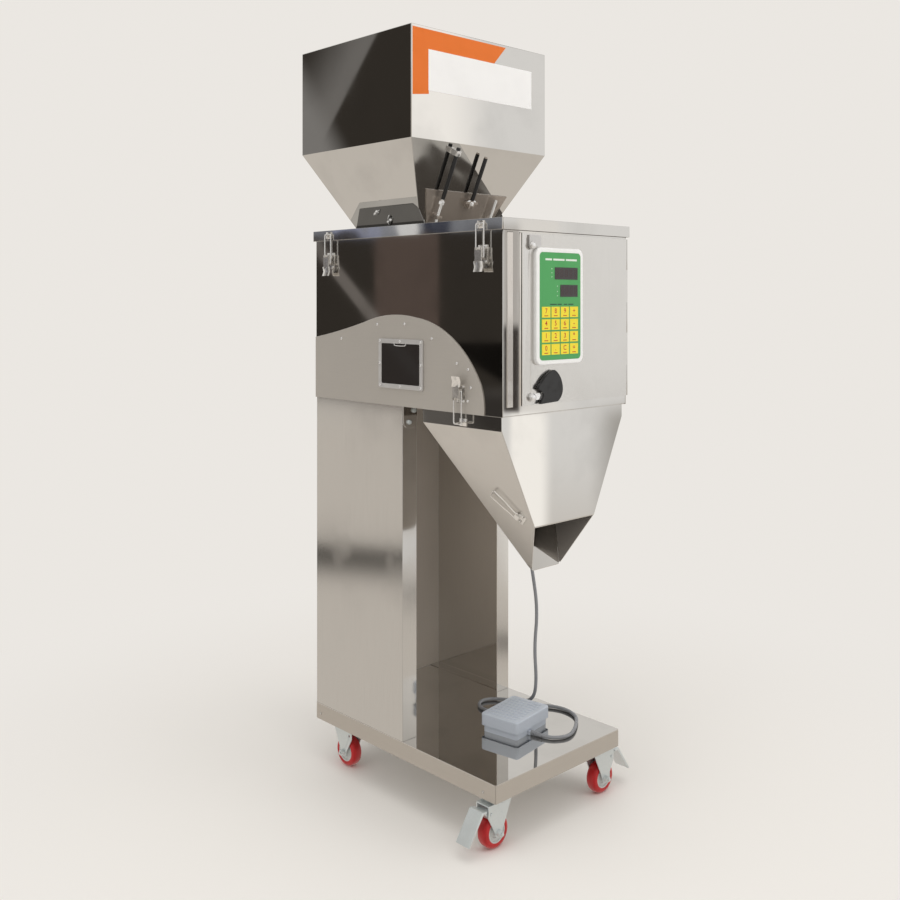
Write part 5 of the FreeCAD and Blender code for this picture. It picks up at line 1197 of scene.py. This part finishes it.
class FILLER_OT_studio(bpy.types.Operator):
    """Pale floor, soft lamps and a studio that polished sheet can reflect"""
    bl_idname = "filler.studio"
    bl_label = "Studio"

    def execute(self, context):
        scene = context.scene
        scene.view_settings.view_transform = "Standard"
        self.floor(scene)
        self.lamps(scene)
        self.world(scene)
        return {"FINISHED"}

    def floor(self, scene):
        form = bmesh.new()
        bmesh.ops.create_circle(form, cap_ends=True, segments=96, radius=9.0)
        floor = from_bmesh("studio_floor", form)
        material = bpy.data.materials.new("studio_floor")
        material.use_nodes = True
        tree = material.node_tree
        pale = tuple(scene.filler_studio.pale)
        shader = tree.nodes["Principled BSDF"]
        shader.inputs["Base Color"].default_value = (0.90, 0.885, 0.86, 1)
        shader.inputs["Roughness"].default_value = 0.55
        shader.inputs["Specular IOR Level"].default_value = 0.25
        place = add_node(tree, "ShaderNodeTexCoord")
        length = add_node(tree, "ShaderNodeVectorMath", operation="LENGTH")
        fade = add_node(tree, "ShaderNodeMapRange", interpolation_type="SMOOTHSTEP")
        fade.inputs["From Min"].default_value = 0.25
        fade.inputs["From Max"].default_value = 1.5
        glow = add_node(tree, "ShaderNodeEmission")
        glow.inputs["Color"].default_value = (*pale, 1)
        mix = add_node(tree, "ShaderNodeMixShader")
        out = tree.nodes["Material Output"]
        wire(tree, [
            (place.outputs["Object"], length.inputs[0]), (length.outputs["Value"], fade.inputs["Value"]),
            (fade.outputs["Result"], mix.inputs["Fac"]), (shader.outputs["BSDF"], mix.inputs[1]),
            (glow.outputs["Emission"], mix.inputs[2]), (mix.outputs["Shader"], out.inputs["Surface"]),
        ])
        floor.data.materials.append(material)
        floor.visible_glossy = False

    def lamps(self, scene):
        power = scene.filler_studio.lamp
        places = (
            ("lamp_above", (-0.4, -0.6, 3.4), 3.0, 1.0), ("lamp_front", (1.6, -2.9, 2.2), 2.2, 0.55),
            ("lamp_left", (-2.9, 0.3, 2.0), 2.0, 0.35),
        )
        for name, place, size, share in places:
            data = bpy.data.lights.new(name, "AREA")
            data.shape = "SQUARE"
            data.size = size
            data.energy = power * share
            data.color = (1.0, 0.985, 0.965)
            lamp = bpy.data.objects.new(name, data)
            lamp.location = place
            lamp.rotation_euler = (Vector((0, 0, 0.7)) - Vector(place)).to_track_quat("-Z", "Y").to_euler()
            lamp.visible_glossy = False
            lamp.visible_camera = False
            scene.collection.objects.link(lamp)

    def world(self, scene):
        """Pale for the eye; dark flags and bright strips for what polished sheet reflects."""
        world = bpy.data.worlds.new("Studio")
        scene.world = world
        world.use_nodes = True
        tree = world.node_tree
        tree.nodes.clear()
        pale = tuple(scene.filler_studio.pale)
        out = add_node(tree, "ShaderNodeOutputWorld")
        eye = add_node(tree, "ShaderNodeBackground")
        eye.inputs["Color"].default_value = (*pale, 1)
        room = add_node(tree, "ShaderNodeBackground")
        path = add_node(tree, "ShaderNodeLightPath")
        pick = add_node(tree, "ShaderNodeMixShader")
        place = add_node(tree, "ShaderNodeTexCoord")
        base = self.linear(tree, place.outputs["Generated"], (0, 0, 1))
        level = self.step(tree, base, -0.14, -0.02)
        room_mix = add_node(tree, "ShaderNodeMix", data_type="RGBA")
        room_mix.inputs["A"].default_value = (0.72, 0.67, 0.61, 1)
        room_mix.inputs["B"].default_value = (0.78, 0.76, 0.73, 1)
        wire(tree, [(level, room_mix.inputs["Factor"])])
        colour = room_mix.outputs["Result"]
        for way, cards in self.CARDS:
            plane = self.project(tree, place.outputs["Generated"], way)
            for shade, edges in cards:
                colour = self.card(tree, plane, colour, shade, edges)
        glossy = add_node(tree, "ShaderNodeMix", data_type="RGBA")
        glossy.inputs["A"].default_value = (*[c * 0.75 for c in pale], 1)
        wire(tree, [
            (path.outputs["Is Glossy Ray"], glossy.inputs["Factor"]), (colour, glossy.inputs["B"]),
            (glossy.outputs["Result"], room.inputs["Color"]),
            (path.outputs["Is Camera Ray"], pick.inputs["Fac"]),
            (room.outputs["Background"], pick.inputs[1]), (eye.outputs["Background"], pick.inputs[2]),
            (pick.outputs["Shader"], out.inputs["Surface"]),
        ])

    # What polished sheet sees in the studio: soft-edged cards on a wall in each direction, as seen from the
    # machine. A card is its colour and its edges (across, up, from, to): it is full where
    # across * u + up * v passes "to".
    LEFT = ((-0.688, 0.7257), (-0.7257, -0.688))
    FRONT = ((0.688, -0.7257), (0.7257, 0.688))
    BACK = ((-0.688, -0.7257), (0.7257, -0.688))
    HIGH = (0.143, 1, -0.1125, -0.1095)
    SKIRT = [(-0.0645, 1, 0.0640, 0.0655), (0, 1, 0.115, 0.10)]
    FLANGE = [(1, 0, -0.06, -0.052), (1, 0, -0.018, -0.026)]
    STRIP = [(1, 0, 0.050, 0.053), (1, 0, 0.0675, 0.066), (0, 1, -0.112, -0.105)]
    CHUTE_TOP = [(0, 1, -0.1315, -0.129), (0, 1, -0.08, -0.10), (1, 0, 0.16, 0.12)]
    CARDS = [
        (LEFT, [
            ((0.042, 0.036, 0.030), [(1, 0, 0.30, 0.16), (1, 0, -0.40, -0.25), HIGH, (0, 1, 0.60, 0.34)]),
            ((0.115, 0.086, 0.073), [
                (1, 0, -0.0745, -0.070), (1, 0, -0.009, -0.0125), (0, 1, 0.10, 0.085), HIGH,
            ]),
            ((0.20, 0.18, 0.165), [
                (1.28, 1, -0.1225, -0.1205), (1.28, 1, -0.1005, -0.107), (0, 1, 0.062, 0.055), HIGH,
            ]),
            ((0.008, 0.007, 0.006), [
                (1, 0.6, -0.035, -0.031), (1, 1.6, -0.085, -0.070), (0, 1, -0.040, -0.044),
                (1, 0, 0.10, 0.09), HIGH,
            ]),
            ((0.20, 0.19, 0.18), [
                (1, -0.504, -0.1975, -0.2005), (1, -0.504, -0.262, -0.205), (0, 1, 0.10, 0.13),
                (0, 1, 0.60, 0.34),
            ]),
            ((0.26, 0.25, 0.24), [
                (2, 1, -0.04, -0.10), (0, 1, 0.10, 0.13), (0, 1, 0.60, 0.34), (1, 0, -0.40, -0.25),
            ]),
            ((0.13, 0.12, 0.11), [(1, 0, -0.030, -0.027), *CHUTE_TOP]),
            ((0.045, 0.04, 0.036), [(1, 0, -0.005, 0.035), *CHUTE_TOP]),
            ((0.27, 0.28, 0.31), [*SKIRT, (1, 0, -0.30, -0.20), (1, 0, 0.20, 0.10)]),
            ((0.40, 0.43, 0.60), [*SKIRT, (1, 0, -0.112, -0.104), (1, 0, -0.072, -0.080)]),
            ((0.90, 0.90, 0.90), [*SKIRT, (1, 0.5, -0.020, -0.014), (1, 0.5, 0.004, -0.001)]),
            ((0.030, 0.035, 0.06), [*SKIRT, (1, 0, -0.022, -0.016), (1, 0, 0.004, -0.002)]),
            ((0.015, 0.013, 0.011), [
                (0.082, 1, -0.2435, -0.2465), (0.082, 1, -0.285, -0.256), (1, 0, -0.30, -0.18),
                (1, 0, 0.10, 0.02),
            ]),
        ]),
        (FRONT, [
            ((0.95, 0.94, 0.925), [
                (1, 0, -0.50, -0.30), (1, 0, 0.60, 0.45), (0, 1, -0.30, -0.12), (0, 1, 0.45, 0.35),
            ]),
            ((0.10, 0.088, 0.078), [
                (1, 0, 0.094, 0.100), (1, 0, 0.70, 0.45), (0, 1, 0.530, 0.545), (0, 1, 1.20, 0.80),
            ]),
            ((0.90, 0.90, 0.90), [*FLANGE, (0, 1, -0.262, -0.256), (0, 1, -0.222, -0.228)]),
            ((0.05, 0.045, 0.04), [*FLANGE, (0, 1, -0.300, -0.288), (0, 1, -0.270, -0.276)]),
            ((0.12, 0.10, 0.09), [*FLANGE, (0, 1, -0.212, -0.200), (0, 1, -0.09, -0.12)]),
            ((0.06, 0.05, 0.045), [
                (1, 0, 0.030, 0.038), (1, 0, 0.075, 0.066), (0, 1, -0.345, -0.335), (0, 1, -0.318, -0.325),
            ]),
            ((1.25, 1.22, 1.18), [
                (1, 0, -0.06, -0.03), (1, 0, 0.045, -0.005), (0, 1, 0.10, 0.15), (0, 1, 0.45, 0.35),
            ]),
            ((1.30, 1.27, 1.22), [
                (1, 0, 0.055, 0.062), (1, 0, 0.100, 0.086), (0, 1, -0.10, -0.115), (0, 1, -0.30, -0.25),
            ]),
            ((0.52, 0.50, 0.47), [
                (1, 0, 0.130, 0.165), (0, 1, -0.09, -0.12), (0, 1, -0.30, -0.25), (1, 0, 0.45, 0.35),
            ]),
            ((1.02, 0.99, 0.95), [
                (1, 0, 0.064, 0.068), (1, 0, 0.125, 0.09), (0, 1, -0.112, -0.105), (0, 1, 0.10, 0.07),
            ]),
            ((0.58, 0.55, 0.52), [*STRIP, (0, 1, 0.075, 0.07)]),
            ((0.06, 0.05, 0.045), [*STRIP, (0, 1, -0.020, -0.032)]),
        ]),
        (BACK, [
            ((0.26, 0.235, 0.21), [(1, 0, -0.50, -0.30), (1, 0, 0.50, 0.30), (0, 1, 0.25, 0.05)]),
        ]),
    ]

    def linear(self, tree, vector, weights):
        node = add_node(tree, "ShaderNodeVectorMath", operation="DOT_PRODUCT")
        node.inputs[1].default_value = weights
        wire(tree, [(vector, node.inputs[0])])
        return node.outputs["Value"]

    def step(self, tree, value, start, full):
        node = add_node(tree, "ShaderNodeMapRange", interpolation_type="SMOOTHSTEP")
        node.inputs["From Min"].default_value = start
        node.inputs["From Max"].default_value = full
        wire(tree, [(value, node.inputs["Value"])])
        return node.outputs["Result"]

    def times(self, tree, one, two):
        node = add_node(tree, "ShaderNodeMath", operation="MULTIPLY")
        wire(tree, [(one, node.inputs[0]), (two, node.inputs[1])])
        return node.outputs["Value"]

    def project(self, tree, direction, way):
        """A direction's place on a wall: across, up, and how squarely it faces the wall."""
        ahead, aside = way
        depth = self.linear(tree, direction, (*ahead, 0))
        right = self.linear(tree, direction, (*aside, 0))
        height = self.linear(tree, direction, (0, 0, 1))
        safe = add_node(tree, "ShaderNodeMath", operation="MAXIMUM")
        safe.inputs[1].default_value = 0.05
        wire(tree, [(depth, safe.inputs[0])])
        place = add_node(tree, "ShaderNodeCombineXYZ")
        for socket, value in (("X", right), ("Y", height)):
            share = add_node(tree, "ShaderNodeMath", operation="DIVIDE")
            wire(tree, [
                (value, share.inputs[0]), (safe.outputs["Value"], share.inputs[1]),
                (share.outputs["Value"], place.inputs[socket]),
            ])
        return place.outputs["Vector"], self.step(tree, depth, 0.1, 0.3)

    def card(self, tree, plane, colour, shade, edges):
        """Lay a soft-edged card of one shade over the room's colour."""
        place, mask = plane
        for across, up, start, full in edges:
            mask = self.times(tree, mask, self.step(
                tree, self.linear(tree, place, (across, up, 0)), start, full,
            ))
        mix = add_node(tree, "ShaderNodeMix", data_type="RGBA")
        mix.inputs["B"].default_value = (*shade, 1)
        wire(tree, [(mask, mix.inputs["Factor"]), (colour, mix.inputs["A"])])
        return mix.outputs["Result"]


# Panel and registration

STEPS = [
    FILLER_OT_camera, FILLER_OT_cord, FILLER_OT_sheets, FILLER_OT_fittings, FILLER_OT_hopper, FILLER_OT_gate,
    FILLER_OT_panel, FILLER_OT_handle, FILLER_OT_window, FILLER_OT_wheels, FILLER_OT_pedal,
    FILLER_OT_fasteners,
    FILLER_OT_studio,
]


class FILLER_PT_panel(bpy.types.Panel):
    bl_label = "Filling machine"
    bl_idname = "FILLER_PT_panel"
    bl_space_type = "VIEW_3D"
    bl_region_type = "UI"
    bl_category = "Filler"

    def draw(self, context):
        layout = self.layout
        for group in (context.scene.filler_sizes, context.scene.filler_colours, context.scene.filler_studio):
            for name in group.__annotations__:
                layout.prop(group, name)
        for step in STEPS:
            layout.operator(step.bl_idname)


CLASSES = [FillerSizes, FillerColours, FillerStudio, *STEPS, FILLER_PT_panel]


def register():
    for item in CLASSES:
        bpy.utils.register_class(item)
    bpy.types.Scene.filler_sizes = bpy.props.PointerProperty(type=FillerSizes)
    bpy.types.Scene.filler_colours = bpy.props.PointerProperty(type=FillerColours)
    bpy.types.Scene.filler_studio = bpy.props.PointerProperty(type=FillerStudio)


def unregister():
    for name in ("filler_sizes", "filler_colours", "filler_studio"):
        delattr(bpy.types.Scene, name)
    for item in reversed(CLASSES):
        bpy.utils.unregister_class(item)


def main():
    register()
    make_finishes()
    for step in STEPS:
        call = getattr(bpy.ops.filler, step.bl_idname.split(".")[1])
        call()


if __name__ == "__main__":
    main()
